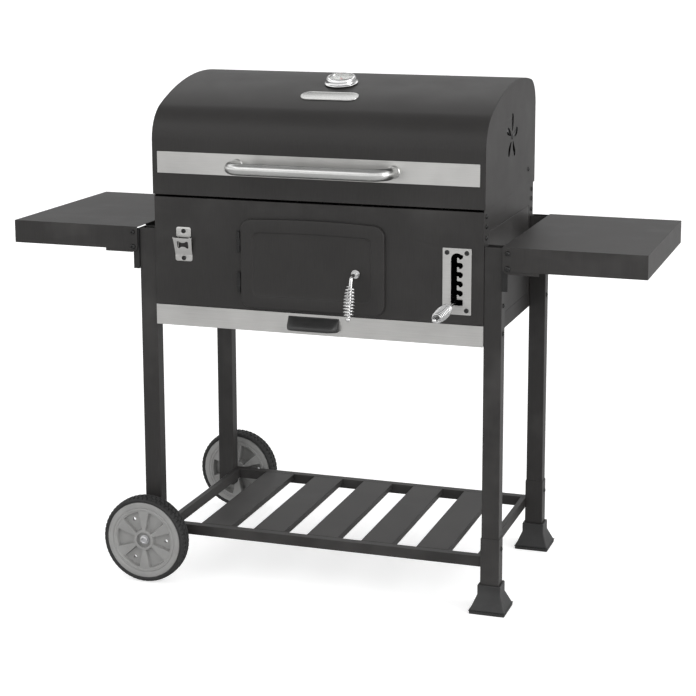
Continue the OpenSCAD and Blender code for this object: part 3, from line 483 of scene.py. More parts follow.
def towards(origin, direction):
    """A frame at origin whose Z runs along direction."""
    turn = Vector(direction).to_track_quat("Z", "Y").to_matrix().to_4x4()
    return Matrix.Translation(Vector(origin)) @ turn


def bolt_head(name, origin, direction, r, h, socket=0.45, steps=24):
    """A domed screw head with a hexagonal socket; origin is where it sits."""
    def hexagon(size):
        def shape(a):
            sector = (a + math.pi / 6) % (math.pi / 3) - math.pi / 6
            return (size * 0.93 / math.cos(sector) - size, 0.0)
        return shape
    s = r * socket
    profile = [(r * 0.98, 0), (r, h * 0.12), (r, h * 0.35), (r * 0.93, h * 0.62), (r * 0.78, h * 0.86),
               (r * 0.6, h), (s * 1.12, h), (s, h * 0.97, hexagon(s)),
               (s * 0.97, h * 0.35, hexagon(s * 0.97)),
               (0.0001, h * 0.3)]
    return revolve(name, profile, steps, towards(origin, direction), angle=30.0)


# ---- Lid ----

def lid_outline(t, low, n=30):
    """The lid's outline in Y and Z, drawn t inside the outer face."""
    front_r, rear_r = 0.085, 0.060
    crown_r, cy, cz = CROWN_R, CROWN_Y, CROWN_Z
    fy = LID_FRONT + front_r
    fz = cz + math.sqrt((crown_r - front_r) ** 2 - (fy - cy) ** 2)
    ry = LID_REAR - rear_r
    rz = cz + math.sqrt((crown_r - rear_r) ** 2 - (ry - cy) ** 2)
    fa, ra = math.atan2(fz - cz, fy - cy), math.atan2(rz - cz, ry - cy)
    return ([(LID_FRONT + t, low), (LID_FRONT + t, (low + fz) / 2)]
            + arc(fy, fz, front_r - t, math.pi, fa, n)
            + arc(cy, cz, crown_r - t, fa, ra, 2 * n)[1:]
            + arc(ry, rz, rear_r - t, ra, 0, n)[1:]
            + [(LID_REAR - t, low)])


def crown(y_from_front):
    """A frame on the lid's crown: Z is the outward normal, X runs along the grill."""
    a = math.asin((FRONT + y_from_front - CROWN_Y) / CROWN_R)
    n = Vector((0, math.sin(a), math.cos(a)))
    t = Vector((0, math.cos(a), -math.sin(a)))
    return axes(Vector((0, CROWN_Y, CROWN_Z)) + n * CROWN_R, (1, 0, 0), t, n)


def lid_shell():
    """The bent sheet between the two ends."""
    outer, inner = lid_outline(0, LID_LOW), lid_outline(SHEET, LID_LOW)
    ends = LID_HALF - SHEET
    hem = 0.0016
    xs = [-ends, -ends + hem, *(-ends + hem + (ends - hem) * i / 4 for i in range(1, 8)), ends - hem, ends]
    verts, faces = [], []
    count = len(outer)
    for x in xs:
        verts += [(x, y, z) for y, z in outer] + [(x, y, z) for y, z in inner]
    for i in range(len(xs) - 1):
        a, b = i * 2 * count, (i + 1) * 2 * count
        for k in range(count - 1):
            faces.append((a + k, a + k + 1, b + k + 1, b + k))
            faces.append((a + count + k, b + count + k, b + count + k + 1, a + count + k + 1))
        faces.append((a, b, b + count, a + count))
        faces.append((a + count - 1, a + 2 * count - 1, b + 2 * count - 1, b + count - 1))
    for a in (0, (len(xs) - 1) * 2 * count):
        for k in range(count - 1):
            faces.append((a + k, a + k + 1, a + count + k + 1, a + count + k))
    obj = new_object("lid_sheet", mesh_from("lid_sheet", verts, faces, 35.0))
    rounded(obj, 0.0006, 2)
    piece(obj, "lid_shell")


def vent_petals(turn=0.0):
    petal = [(-2, 14), (3, 14), (8, 22), (11.5, 32), (11.5, 42), (7, 50), (1, 52), (-3.2, 48), (-4.4, 42),
             (-3.4, 30), (-2.4, 21)]
    curve = closed_curve([(x / 1000, y / 1000) for x, y in petal], 4)
    loops = []
    for i in range(5):
        a = math.radians(turn - 72 * i)
        loops.append([(VENT_Y + y * math.cos(a) - z * math.sin(a),
                       VENT_Z + y * math.sin(a) + z * math.cos(a)) for y, z in curve])
    return loops


def lid_ends():
    for side, name in ((1, "lid_right_end"), (-1, "lid_left_end")):
        x0 = LID_HALF - SHEET if side > 0 else -LID_HALF
        obj = sheet_piece(name + "_sheet", lid_outline(0, LID_LOW), vent_petals(), SHEET, 0.0005,
                          facing_side(x0))
        piece(obj, name)
    for side, name in ((1, "right_vent_disc"), (-1, "left_vent_disc")):
        x0 = side * (LID_HALF - SHEET - 0.0016) - 0.0006
        rim = circle(VENT_Y, VENT_Z, VENT_R + 0.006, 72)
        obj = sheet_piece(name + "_sheet", rim, vent_petals(14.0), 0.0012, 0.0003, facing_side(x0))
        piece(obj, name, material=MATERIALS["enamel"])


def lid_band():
    y = LID_FRONT
    obj = sheet_piece("stainless_strip", round_rect(-0.370, 0.370, 0.938, 0.986, 0.0008, 3), [], 0.0008,
                      0.0002, facing_front(y))
    piece(obj, "lid_band")


def lid_handle():
    """A bent stainless tube with a flared foot at each end."""
    out, wall = FRONT - HANDLE_OUT, LID_FRONT - 0.0008
    inner = HANDLE_HALF - HANDLE_BEND
    bend = [(inner + x, y, HANDLE_Z) for x,
            y in arc(0, out + HANDLE_BEND, HANDLE_BEND, -math.pi / 2, 0, 18)]
    right = bend + [(HANDLE_HALF, wall - 0.010, HANDLE_Z), (HANDLE_HALF, wall - 0.002, HANDLE_Z),
                    (HANDLE_HALF, wall, HANDLE_Z)]
    left = [(-x, y, z) for x, y, z in right[::-1]]
    path = left + [(x, out, HANDLE_Z) for x in (-0.08, 0.0, 0.08)] + right
    obj = tube("handle_tube", path, HANDLE_R, 40)
    feet = []
    for s in (-1, 1):
        profile = [(0.0128, 0.0030), (0.0133, 0.0026), (0.0142, 0.0016), (0.0146, 0.0006), (0.0146, 0.0),
                   (0.0110, 0.0)]
        feet.append(revolve("handle_foot", profile, 40,
                            towards((s * HANDLE_HALF, wall, HANDLE_Z), (0, -1, 0))))
    piece(join("bent_handle", [obj, *feet]), "lid_handle", material=SATIN)


def lid_fasteners():
    parts = []
    for s in (-1, 1):
        parts.append(bolt_head("vent_rivet", (s * LID_HALF, VENT_Y, VENT_Z), (s, 0, 0), 0.006, 0.0018,
                               0.25))
        parts.append(bolt_head("rack_bolt", (s * LID_HALF, FRONT + 0.391, 0.926), (s, 0, 0), 0.005, 0.0024))
        inside = s * (LID_HALF - SHEET)
        parts.append(tube("rack_pin", [(s * 0.345, FRONT + 0.391, 0.926), (inside, FRONT + 0.391, 0.926)],
                          0.003, 20))
        parts.append(tube("vent_pin", [(inside - s * 0.0052, VENT_Y, VENT_Z), (inside, VENT_Y, VENT_Z)],
                          0.003, 20))
        parts.append(bolt_head("vent_nut", (inside - s * 0.0024, VENT_Y, VENT_Z), (-s, 0, 0), 0.008, 0.0026,
                               0.3))
        parts.append(bolt_head("handle_nut", (s * HANDLE_HALF, FRONT, HANDLE_Z), (0, 1, 0), 0.006, 0.0035,
                               0.4, 6))
    piece(join("lid_bolts", parts), "lid_fasteners", material=BLACK_ZINC)


def thermometer():
    """Case, dial with marks, needle and glass."""
    at = crown(0.182)
    case = [(0.0001, 0.0010), (0.0352, 0.0010), (0.0372, 0.0013), (0.0380, 0.0022), (0.0376, 0.0032),
            (0.0362, 0.0040),
            (0.0346, 0.0046), (0.0339, 0.0060), (0.0337, 0.0100), (0.0331, 0.0130), (0.0318, 0.0154),
            (0.0300, 0.0168),
            (0.0288, 0.0170), (0.0281, 0.0166), (0.0280, 0.0155), (0.0280, 0.0090), (0.0001, 0.0090)]
    body = revolve("gauge_body", case, 72, at)
    stem = tube("gauge_stem", [at @ Vector((0, 0, z)) for z in (-0.064, -0.0625, -0.03, 0.0015)], 0.003, 20,
                radii=[0.55, 1, 1, 1])
    nut = revolve("gauge_nut", [(0.0031, -0.0030), (0.0080, -0.0030), (0.0080, -0.0088), (0.0031, -0.0088)],
                  6, at, closed=True)
    piece(join("gauge_case", [body, stem, nut]), "thermometer_case")
    dial = revolve("gauge_dial", [(0.0001, 0.0098), (0.0265, 0.0098), (0.0277, 0.0102), (0.0278, 0.0092),
                                  (0.0001, 0.0092)], 64, at)
    piece(dial, "thermometer_dial")
    marks = []
    for i in range(28):
        a = math.radians(225 - 10 * i)
        long = i % 3 == 0
        r0, r1, w = (0.0190, 0.0245, 0.0005) if long else (0.0215, 0.0245, 0.0003)
        u, v = Vector((math.cos(a), math.sin(a), 0)), Vector((-math.sin(a), math.cos(a), 0))
        base = [u * r0 - v * w, u * r1 - v * w, u * r1 + v * w, u * r0 + v * w]
        verts = [at @ (p + Vector((0, 0, z))) for z in (0.0097, 0.01) for p in base]
        faces = [(0, 3, 2, 1), (4, 5, 6, 7), (0, 1, 5, 4), (1, 2, 6, 5), (2, 3, 7, 6), (3, 0, 4, 7)]
        marks.append(new_object("mark", mesh_from("mark", verts, faces, 20)))
    part_of(join("gauge_marks", marks), "thermometer_dial", "black_plastic")
    a = math.radians(225 + 90)
    u, v = Vector((math.cos(a), math.sin(a), 0)), Vector((-math.sin(a), math.cos(a), 0))
    outline = [(-0.005, 0.0011), (0.0, 0.0014), (0.018, 0.0006), (0.022, 0.0001), (0.022, -0.0001),
               (0.018, -0.0006), (0.0, -0.0014), (-0.005, -0.0011)]
    verts = [at @ (u * x + v * y + Vector((0, 0, z))) for z in (0.0104, 0.0111) for x, y in outline]
    n = len(outline)
    faces = [tuple(range(n))[::-1], tuple(range(n, 2 * n))]
    faces += [(k, (k + 1) % n, n + (k + 1) % n, n + k) for k in range(n)]
    hand = new_object("hand", mesh_from("hand", verts, faces, 20))
    hub = revolve("hand_hub", [(0.0001, 0.0101), (0.0026, 0.0101), (0.0026, 0.0112), (0.0018, 0.0116),
                               (0.0001, 0.0117)], 24, at)
    piece(join("gauge_needle", [hand, hub]), "thermometer_needle")
    glass = revolve("gauge_lens", [(0.0001, 0.0135), (0.0279, 0.0135), (0.0279, 0.0142), (0.0262, 0.0147),
                                   (0.020, 0.0150), (0.0001, 0.0152)], 64, at)
    piece(glass, "thermometer_glass")


def name_plate():
    """A blank oval badge with a raised rim."""
    at = crown(0.102)
    half, r = 0.047, 0.020
    def stadium(inset):
        right = arc(half, 0, r - inset, -math.pi / 2, math.pi / 2, 20)
        return right + arc(-half, 0, r - inset, math.pi / 2, math.pi * 1.5, 20)
    levels = [(0.0, 0.0003), (0.0, 0.0012), (0.0004, 0.0018), (0.0012, 0.0019), (0.0020, 0.0018),
              (0.0026, 0.0012), (0.0032, 0.0011)]
    rings = [[at @ Vector((x, y, z)) for x, y in stadium(i)] for i, z in levels]
    count = len(rings[0])
    verts = [v for ring in rings for v in ring]
    faces = [tuple(range(count))[::-1], tuple((len(rings) - 1) * count + k for k in range(count))]
    for i in range(len(rings) - 1):
        for k in range(count):
            m = (k + 1) % count
            faces.append((i * count + k, i * count + m, (i + 1) * count + m, (i + 1) * count + k))
    piece(new_object("blank_badge", mesh_from("blank_badge", verts, faces, 35.0)), "name_plate",
          material=SATIN)


# ---- Charcoal door, latch and front fittings ----

def loops_mesh(name, loops, matrix, caps=(True, True), angle=35.0):
    """Joins closed loops of equal length into one skin."""
    count = len(loops[0])
    verts = [matrix @ Vector(p) for loop in loops for p in loop]
    faces = []
    for i in range(len(loops) - 1):
        for k in range(count):
            m = (k + 1) % count
            faces.append((i * count + k, i * count + m, (i + 1) * count + m, (i + 1) * count + k))
    if caps[0]:
        faces.append(tuple(range(count))[::-1])
    if caps[1]:
        faces.append(tuple((len(loops) - 1) * count + k for k in range(count)))
    return new_object(name, mesh_from(name, verts, faces, angle))


def charcoal_door():
    """Pressed sheet: rolled rim, flat border and a shallow field with soft edges."""
    x0, x1, z0, z1 = -0.1725, 0.1605, 0.6455, 0.8465
    depth = 0.0074
    def arched(x, z, h):
        """The top edge is a shallow arch, 6 mm higher in the middle than at its corners."""
        high = max(0.0, (z - z0) / (z1 - z0)) ** 2
        off = (x - (x0 + x1) / 2) / ((x1 - x0) / 2)
        return (x, z + high * (0.0020 - 0.0060 * off * off), h)
    def ring(inset, h, r):
        pts = split_long(round_rect(x0 + inset, x1 - inset, z0 + inset, z1 - inset, r, 10))
        return [arched(x, z, h) for x, z in pts]
    def field(grow, h):
        r = 0.012 + grow
        pts = split_long(round_rect(x0 + 0.030 - grow, x1 - 0.031 + grow, z0 + 0.029 - grow,
                                    z1 - 0.031 + grow, r, 10))
        return [arched(x, z, h) for x, z in pts]
    rim = 0.0034
    outside = [ring(0.0, 0.0, 0.024)]
    for i in range(7):
        a = math.pi / 2 * i / 6
        outside.append(ring(rim * (1 - math.cos(a)), depth - rim + rim * math.sin(a),
                            0.024 - rim * (1 - math.cos(a))))
    outside += [field(g, depth - h) for g,
                h in ((0.0030, 0.0), (0.0020, 0.0002), (0.0012, 0.0007), (0.0002, 0.0017),
                                                 (-0.0006, 0.0022), (-0.0016, 0.0024))]
    inside = [field(-0.0016, depth - 0.0038), field(0.0008, depth - 0.0034), field(0.0032, depth - 0.0022),
              ring(0.0034, depth - 0.0022, 0.0206), ring(0.0018, depth - 0.0040, 0.0222),
              ring(0.0014, 0.0, 0.0226)]
    obj = loops_mesh("door_sheet", outside, facing_front(FRONT - 0.0006), (False, True))
    back = loops_mesh("door_back", inside[::-1] , facing_front(FRONT - 0.0006), (False, True))
    lip = loops_mesh("door_lip", [outside[0], inside[-1]], facing_front(FRONT - 0.0006), (False, False))
    door = join("pressed_door", [obj, back, lip])
    bm = bmesh.new()
    bm.from_mesh(door.data)
    bmesh.ops.remove_doubles(bm, verts=bm.verts, dist=1e-6)
    bmesh.ops.recalc_face_normals(bm, faces=bm.faces)
    bm.to_mesh(door.data)
    bm.free()
    smooth(door.data, 40.0)
    piece(door, "charcoal_door")


def spring_grip(name, node, start, end, turns, wire):
    """A barrel-shaped coil of wire round a rod, from start to end."""
    low, mid = 0.0095, 0.0145
    bare_rod = 0.0042
    at = towards(start, Vector(end) - Vector(start))
    length = (Vector(end) - Vector(start)).length
    points = []
    steps = int(turns * 24)
    for i in range(steps + 1):
        t = i / steps
        r = low + (mid - low) * math.sin(math.pi * (0.08 + 0.84 * t)) - wire
        squeeze = min(1.0, t * 14, (1 - t) * 14)
        r = bare_rod + wire * 0.6 + (r - bare_rod - wire * 0.6) * squeeze ** 0.5
        a = 2 * math.pi * turns * t
        points.append(at @ Vector((r * math.cos(a), r * math.sin(a), wire + (length - 2 * wire) * t)))
    radii = [min(1.0, 0.5 + 6 * i / steps, 0.5 + 6 * (steps - i) / steps) for i in range(steps + 1)]
    coil = tube(name, points, wire, 10, radii=radii)
    return piece(coil, node)


def latch():
    soften("latch_handle", 0.0003)
    bend, lean = 0.012, math.radians(14)
    by, x, z = FRONT - 0.040 + bend, 0.0963, 0.7367
    d = Vector((0, -math.sin(lean), -math.cos(lean)))
    end = Vector((x, by - bend * math.cos(lean), z - bend + bend * math.sin(lean)))
    spring_grip("latch_coil", "latch_grip", end + d * 0.009, end + d * 0.079, 10, 0.0014)


def height_lever():
    soften("height_lever", 0.0003)
    inner, mid = Vector((0.323, FRONT + 0.060, 0.6952)), Vector((0.316, FRONT, 0.6865))
    d = (mid - inner).normalized()
    tip = inner + d * ((inner.y - (FRONT - 0.116) - 0.005) / -d.y)
    end = tip - d * 0.006
    spring_grip("lever_coil", "lever_grip", end - d * 0.074, end, 12, 0.0016)


def slot_outline():
    """The height plate's channel with its hooked notches, anticlockwise from the lower left corner."""
    left, mid, right, low, pitch, travel = 0.308, 0.3215, 0.3345, 0.681, 0.020, 0.100
    pts = [(left, low), (right, low), (right, low + 0.0115)]
    pts += arc(right - 0.0015, low + 0.0115, 0.0015, 0, math.pi / 2, 3)
    for i in range(1, 6):
        z = low + pitch * i
        pts += [(mid + 0.001, z - pitch + 0.013), (mid, z - pitch + 0.0145), (mid, z - 0.0010 + 0.0035)]
        pts += [(mid + 0.0012, z + 0.0040), (mid + 0.0045, z + 0.0026)]
        pts += arc(right - 0.0065, z + 0.0065, 0.0065, -math.pi * 0.62, math.pi * 0.5, 10)
        if i == 5:
            pts = pts[:-3]
    radius = (right - left) / 2
    top = low + travel
    pts += [p for p in arc(left + radius, top, radius, 0.15, math.pi,
                           12) if p[1] > top + 0.009 or p[0] < mid]
    return pts


def adjuster_plate():
    holes = [slot_outline()] + [circle(x, z, 0.003, 16) for x in (0.2993, 0.3428) for z in (0.6708, 0.7953)]
    obj = sheet_piece("height_plate", round_rect(0.2895, 0.353, 0.661, 0.805, 0.0015, 4), holes, 0.0015,
                      0.0004, facing_front(FRONT))
    piece(obj, "adjuster_plate")


def bottle_opener():
    """One sheet: a flat foot, a tongue bent forwards with a bow-tie opening, and an upper tab."""
    x = -0.310
    plate = (arc(x + 0.0155, 0.746, 0.005, -math.pi / 2, 0, 6) + [(x + 0.0205, 0.757), (x + 0.0150, 0.760),
            (x + 0.0150, 0.796)]
             + [(x + 0.0175, 0.798)] + arc(x + 0.0125, 0.813, 0.005, 0, math.pi / 2, 6)
             + arc(x - 0.0125, 0.813, 0.005, math.pi / 2, math.pi, 6) + [(x - 0.0175, 0.798)]
             + [(x - 0.0150, 0.796), (x - 0.0150, 0.760), (x - 0.0205, 0.757)]
             + arc(x - 0.0155, 0.746, 0.005, math.pi, math.pi * 1.5, 6))
    back = sheet_piece("opener_back", plate, [circle(x, 0.748, 0.003, 16), circle(x, 0.809, 0.003, 16),
                                          round_rect(x - 0.0125, x + 0.0125, 0.7585, 0.7945, 0.002, 3)],
                       0.0015, 0.0004, facing_front(FRONT))
    tie = [(-13, 7), (-10, 9), (-4, 6), (4, 6), (10, 9), (13, 7), (13, -5), (10, -8), (4, -4.5), (-4, -4.5),
           (-10, -8), (-13, -5)]
    lean = math.radians(14)
    up, out = Vector((0, -math.sin(lean), math.cos(lean))), Vector((0, -math.cos(lean), -math.sin(lean)))
    at = axes((x, FRONT - 0.0002, 0.7556), (1, 0, 0), up, out)
    hole = [(px / 1000, 0.023 + py / 1000) for px, py in closed_curve(tie, 4)]
    half = [(20.4, 0), (20.6, 12), (21.4, 26), (22.3, 36), (22.9, 41.8), (19.6, 40.6), (14, 39.6),
            (0, 39.2)]
    outline = [(px / 1000, py / 1000) for px, py in half]
    outline += [(-px / 1000, py / 1000) for px, py in half[-2::-1]]
    tongue = sheet_piece("opener_tongue", outline, [hole], 0.0015, 0.0004, at)
    piece(join("opener_plate", [back, tongue]), "bottle_opener")


def screws():
    places = [(-0.310, 0.748), (-0.310, 0.809), (0.2993, 0.7953), (0.3428, 0.7953), (0.2993, 0.6708),
              (0.3428, 0.6708)]
    parts = []
    for x, z in places:
        parts.append(bolt_head("head", (x, FRONT - 0.0015, z), (0, -1, 0), 0.0052, 0.003))
        parts.append(tube("shank", [(x, FRONT - 0.0015, z), (x, FRONT + 0.0055, z)], 0.0028, 14))
    piece(join("front_screw_set", parts), "front_screws", material=BLACK_ZINC)
    parts = []
    leg_ys = (FRONT + 0.017, FRONT + 0.445)
    for s in (-1, 1):
        for z in (0.8265, 0.8515, 0.8735):
            for y in (FRONT + 0.0175, BACK - 0.0175):
                parts.append(bolt_head("head", (s * HALF_W, y, z), (s, 0, 0), 0.0052, 0.003))
                parts.append(tube("shank", [(s * (HALF_W - 0.0045), y, z), (s * HALF_W, y, z)], 0.0028, 14))
        for y in leg_ys:
            for z, out in ((0.622, 0.419), (0.683, 0.419), (0.784, 0.4208)):
                parts.append(bolt_head("head", (s * out, y, z), (s, 0, 0), 0.0052, 0.0026))
    for y in leg_ys:
        parts.append(bolt_head("head", (0.4205, y + 0.004, 0.140), (1, 0, 0), 0.0052, 0.0026))
    piece(join("panel_bolt_set", parts), "panel_bolts", material=BLACK_ZINC)


def shelf_bolts():
    """Lock bolts and pivot bolts of both side shelves."""
    y0 = FRONT - 0.0064
    y1 = y0 + 0.463
    px, pz, lz = 0.4325, 0.7678, 0.8008
    pivots = []
    for s, node in ((-1, "left_lock_bolts"), (1, "right_lock_bolts")):
        parts = []
        for y, d in ((y0, -1), (y1, 1)):
            parts.append(bolt_head("head", (s * px, y, lz), (0, d, 0), 0.0052, 0.004))
            parts.append(tube("shank", [(s * px, y - d * 0.005, lz), (s * px, y, lz)], 0.003, 16))
            pivots.append(bolt_head("head", (s * px, y + d * 0.0004, pz), (0, d, 0), 0.006, 0.0036))
            pivots.append(tube("shank", [(s * px, y - d * 0.0054, pz), (s * px, y + d * 0.0004, pz)], 0.003,
                               16))
            pivots.append(bolt_head("nut", (s * px, y - d * 0.0054, pz), (0, -d, 0), 0.0052, 0.004, 0.5, 6))
        piece(join(node + "_set", parts), node, material=BLACK_ZINC)
    piece(join("shelf_pivot_set", pivots), "shelf_pivot_bolts", material=BLACK_ZINC)


def drawer_pull():
    """A moulded scoop: sloping top, rounded nose and tapered ends."""
    face = FRONT - 0.0002
    xs = [-0.0620, -0.0612, -0.0590, -0.0540, -0.0460, -0.0340, -0.0035, 0.0270, 0.0390, 0.0470, 0.0520,
          0.0542, 0.0550]
    def section(k):
        """Points (y, z) of one cross-section; k is 0 at the ends and 1 in the middle."""
        reach = 0.012 + 0.018 * k
        return [(0.0, 0.6045), (reach * 0.72, 0.6045), (reach * 0.92, 0.6058), (reach, 0.6085),
                (reach, 0.6125),
                 (reach * 0.93, 0.6160), (reach * 0.70, 0.6205), (reach * 0.42, 0.6262),
                 (reach * 0.18, 0.6310), (0.0, 0.6330)]
    loops = []
    for x in xs:
        t = min((x + 0.0620) / 0.016, (0.0550 - x) / 0.016, 1.0)
        k = math.sin(math.pi / 2 * max(0.0, t)) ** 0.8 if t < 1 else 1.0
        loops.append([(x, face - y, z) for y, z in section(k)])
    count = len(loops[0])
    verts = [p for loop in loops for p in loop]
    faces = []
    for i in range(len(loops) - 1):
        for j in range(count):
            m = (j + 1) % count
            faces.append((i * count + j, i * count + m, (i + 1) * count + m, (i + 1) * count + j))
    faces.append(tuple(range(count)))
    faces.append(tuple((len(loops) - 1) * count + j for j in range(count))[::-1])
    obj = new_object("scoop_pull", mesh_from("scoop_pull", verts, faces, 60.0))
    piece(obj, "drawer_pull")


# ---- Wheels ----

def wheel_matrix(y, outward):
    """Z of the wheel points inwards from its outer face at y."""
    return axes((AXLE_X, y, WHEEL_R), (1, 0, 0), (0, 0, -outward), (0, outward, 0))


def tyre(name, node, y, outward):
    """Solid tyre: smooth sidewalls with a bead line, and a tread of staggered blocks."""
    blocks = 56
    def groove(offset, deep):
        def shape(a):
            phase = (a / (2 * math.pi) * blocks + offset) % 1.0
            edge = min(phase, 1 - phase)
            cut = max(0.0, 1 - edge / 0.16)
            return (-deep * min(1.0, cut * 2.2), 0.0)
        return shape
    t = WHEEL_T
    d = 0.0022
    profile = [(0.0888, 0.0030), (0.0915, 0.0012), (0.0925, 0.0016), (0.0930, 0.0010), (0.0945, 0.0011),
               (0.0962, 0.0022), (0.0976, 0.0038, groove(0.0, d * 0.8)), (0.0986, 0.0060, groove(0.03, d)),
               (0.0992, 0.0085, groove(0.10, d)), (0.0996, 0.0115, groove(0.18, d)), (0.0974, 0.0122),
               (0.0974, 0.0140),
               (0.0998, 0.0147, groove(0.55, d)), (0.1000, 0.0185, groove(0.66, d)),
               (0.1000, 0.0225, groove(0.78, d)),
               (0.0998, 0.0260, groove(0.88, d)), (0.0974, 0.0267), (0.0974, 0.0285),
               (0.0996, 0.0292, groove(0.35, d)),
               (0.0992, 0.0322, groove(0.42, d)), (0.0986, 0.0350, groove(0.48, d)),
               (0.0976, 0.0372, groove(0.5, d * 0.8)),
               (0.0962, t - 0.0010), (0.0945, t), (0.0915, t), (0.0888, t - 0.0020)]
    obj = revolve(name, profile, 448, wheel_matrix(y, outward), closed=True, angle=28.0)
    piece(obj, node)


def carved(obj, cutters):
    """Takes the cutters out of an object and returns the result as a new object."""
    cutter = join("cutters", cutters)
    mod = obj.modifiers.new("cut", "BOOLEAN")
    mod.operation = "DIFFERENCE"
    mod.solver = "EXACT"
    mod.object = cutter
    bpy.context.view_layer.update()
    mesh = bpy.data.meshes.new_from_object(obj.evaluated_get(bpy.context.evaluated_depsgraph_get()))
    name = obj.name
    for o in (obj, cutter):
        bpy.data.objects.remove(o)
    smooth(mesh, 30.0)
    return new_object(name, mesh)


def hub(name, node, y, outward):
    """Plastic hub: stepped rim, six flared spokes between pockets on both faces, a boss and three holes."""
    def smoothstep(x):
        x = max(0.0, min(1.0, x))
        return x * x * (3 - 2 * x)
    def face(r, deep):
        """Depth of a face at radius r and angle a: pockets between the spokes."""
        sign = math.copysign(1, deep)
        def shape(a):
            sector = a % (math.pi / 3) - math.pi / 6
            across = abs(r * math.sin(sector))
            half = 0.0025 + (r * math.cos(sector) - 0.015) * 0.218
            wall = smoothstep((across - half + 0.0010) / 0.0022)
            ends = smoothstep((r - 0.0228) / 0.0030) * smoothstep((0.0668 - r) / 0.0030)
            step = smoothstep((r - 0.0225) / 0.0015) * smoothstep((0.0705 - r) / 0.0012)
            return (0.0, deep * wall * ends + sign * 0.0014 * step)
        return shape
    radii = [0.0195, 0.0215, 0.0228, 0.0236, 0.0244, 0.0252, 0.0264,
             0.0280] + [0.030 + 0.003 * i for i in range(12)]
    radii += [0.0642, 0.0650, 0.0658, 0.0666, 0.0676, 0.0690, 0.0698, 0.0706, 0.0716]
    front = [(0.00606, 0.008), (0.0167, 0.008), (0.0175, 0.0072), (0.0175, 0.0008), (0.0181, 0.0)]
    front += [(r, 0.0, face(r, 0.0086)) for r in radii]
    front += [(0.0738, 0.0), (0.0746, 0.0004), (0.0752, 0.0011), (0.0760, 0.0004), (0.0768, 0.0),
              (0.0862, 0.0),
              (0.0876, 0.0004), (0.0884, 0.0012), (0.0885, 0.0022)]
    depth = 0.038
    back = [(0.0885, 0.0368), (0.0878, depth), (0.0768, depth), (0.0752, depth - 0.0010), (0.0738, depth)]
    back += [(r, depth, face(r, -0.0206)) for r in radii[::-1]]
    back += [(0.0070, depth), (0.00606, depth - 0.0008)]
    at = wheel_matrix(y, outward)
    obj = revolve(name, front + back, 480, at, closed=True, angle=30.0)
    drills = []
    for turn in (0, 120, 240):
        x, z = 0.052 * math.cos(math.radians(turn)), 0.052 * math.sin(math.radians(turn))
        drills.append(tube("drill", [at @ Vector((x, z, d)) for d in (0.006, 0.022)], 0.0040, 28))
    piece(carved(obj, drills), node)


def axle():
    """Rod, spacers between legs and hubs, and a washer and a push-on cap in each hub's recess."""
    y0, y1 = FRONT_WHEEL_Y + 0.0062, REAR_WHEEL_Y + WHEEL_T - 0.0062
    parts = [tube("rod", [(AXLE_X, y, WHEEL_R) for y in (y0, y0 + 0.001, y1 - 0.001, y1)], 0.006, 32,
                  radii=[0.85, 1, 1, 0.85])]
    sleeve = [(0.0061, 0.0004), (0.0105, 0.0), (0.011, 0.0005), (0.011, 0.0279), (0.0105, 0.0284),
              (0.0061, 0.0280)]
    for y in (FRONT - 0.0267, REAR_WHEEL_Y - 0.0287):
        parts.append(revolve("spacer", sleeve, 36, towards((AXLE_X, y, WHEEL_R), (0, 1, 0)), closed=True))
    washer = [(0.0061, 0.0), (0.0108, 0.0), (0.0110, 0.0003), (0.0108, 0.0014), (0.0061, 0.0015)]
    cap = [(0.0061, 0.0015), (0.0086, 0.0015), (0.0088, 0.0020), (0.0086, 0.0066), (0.0078, 0.0074),
           (0.0066, 0.0076),
           (0.0056, 0.0070), (0.0054, 0.0062), (0.0054, 0.0038), (0.0061, 0.0036)]
    for y, out in ((FRONT_WHEEL_Y + 0.0096, -1), (REAR_WHEEL_Y + WHEEL_T - 0.0086, 1)):
        at = towards((AXLE_X, y, WHEEL_R), (0, out, 0))
        parts.append(revolve("washer", washer, 36, at, closed=True))
        parts.append(revolve("cap", cap, 36, at, closed=True))
    piece(join("axle_set", parts), "axle")


# ---- Everything that keeps its CAD shape, with rounded edges ----

SOFTENED = {
    "front_left_leg": 0.0014, "rear_left_leg": 0.0014, "front_right_leg": 0.0014, "rear_right_leg": 0.0014,
    "leg_sleeves": 0.0010, "leg_feet": 0.0022, "frame_rails": 0.0010, "shelf_slats": 0.0010,
    "front_panel": 0.0005, "rear_panel": 0.0005, "left_side_panel": 0.0003, "right_side_panel": 0.0003,
    "inner_rails": 0.0004, "left_shelf": 0.0004, "right_shelf": 0.0004, "shelf_brackets": 0.0005,
    "lid_hinge_leaves": 0.0005, "lid_hinge_pins": 0.0004, "warming_rack": 0.0004, "rack_links": 0.0004,
    "door_hinge_leaves": 0.0004, "door_hinge_pins": 0.0004, "pan_lift_frame": 0.0006,
    "charcoal_pan": 0.0004,
    "charcoal_grate": 0.0008, "cooking_grates": 0.0012, "ash_tray": 0.0003, "drawer_front": 0.0004,
}


def build():
    lid_shell()
    lid_ends()
    lid_band()
    lid_handle()
    lid_fasteners()
    thermometer()
    name_plate()
    charcoal_door()
    latch()
    height_lever()
    adjuster_plate()
    bottle_opener()
    screws()
    shelf_bolts()
    drawer_pull()
    tyre("front_tyre_tread", "front_tyre", FRONT_WHEEL_Y, 1)
    tyre("rear_tyre_tread", "rear_tyre", REAR_WHEEL_Y + WHEEL_T, -1)
    hub("front_hub_moulding", "front_hub", FRONT_WHEEL_Y + 0.002, 1)
    hub("rear_hub_moulding", "rear_hub", REAR_WHEEL_Y + WHEEL_T - 0.001, -1)
    axle()
    for node, width in SOFTENED.items():
        soften(node, width)


# ---- Studio ----

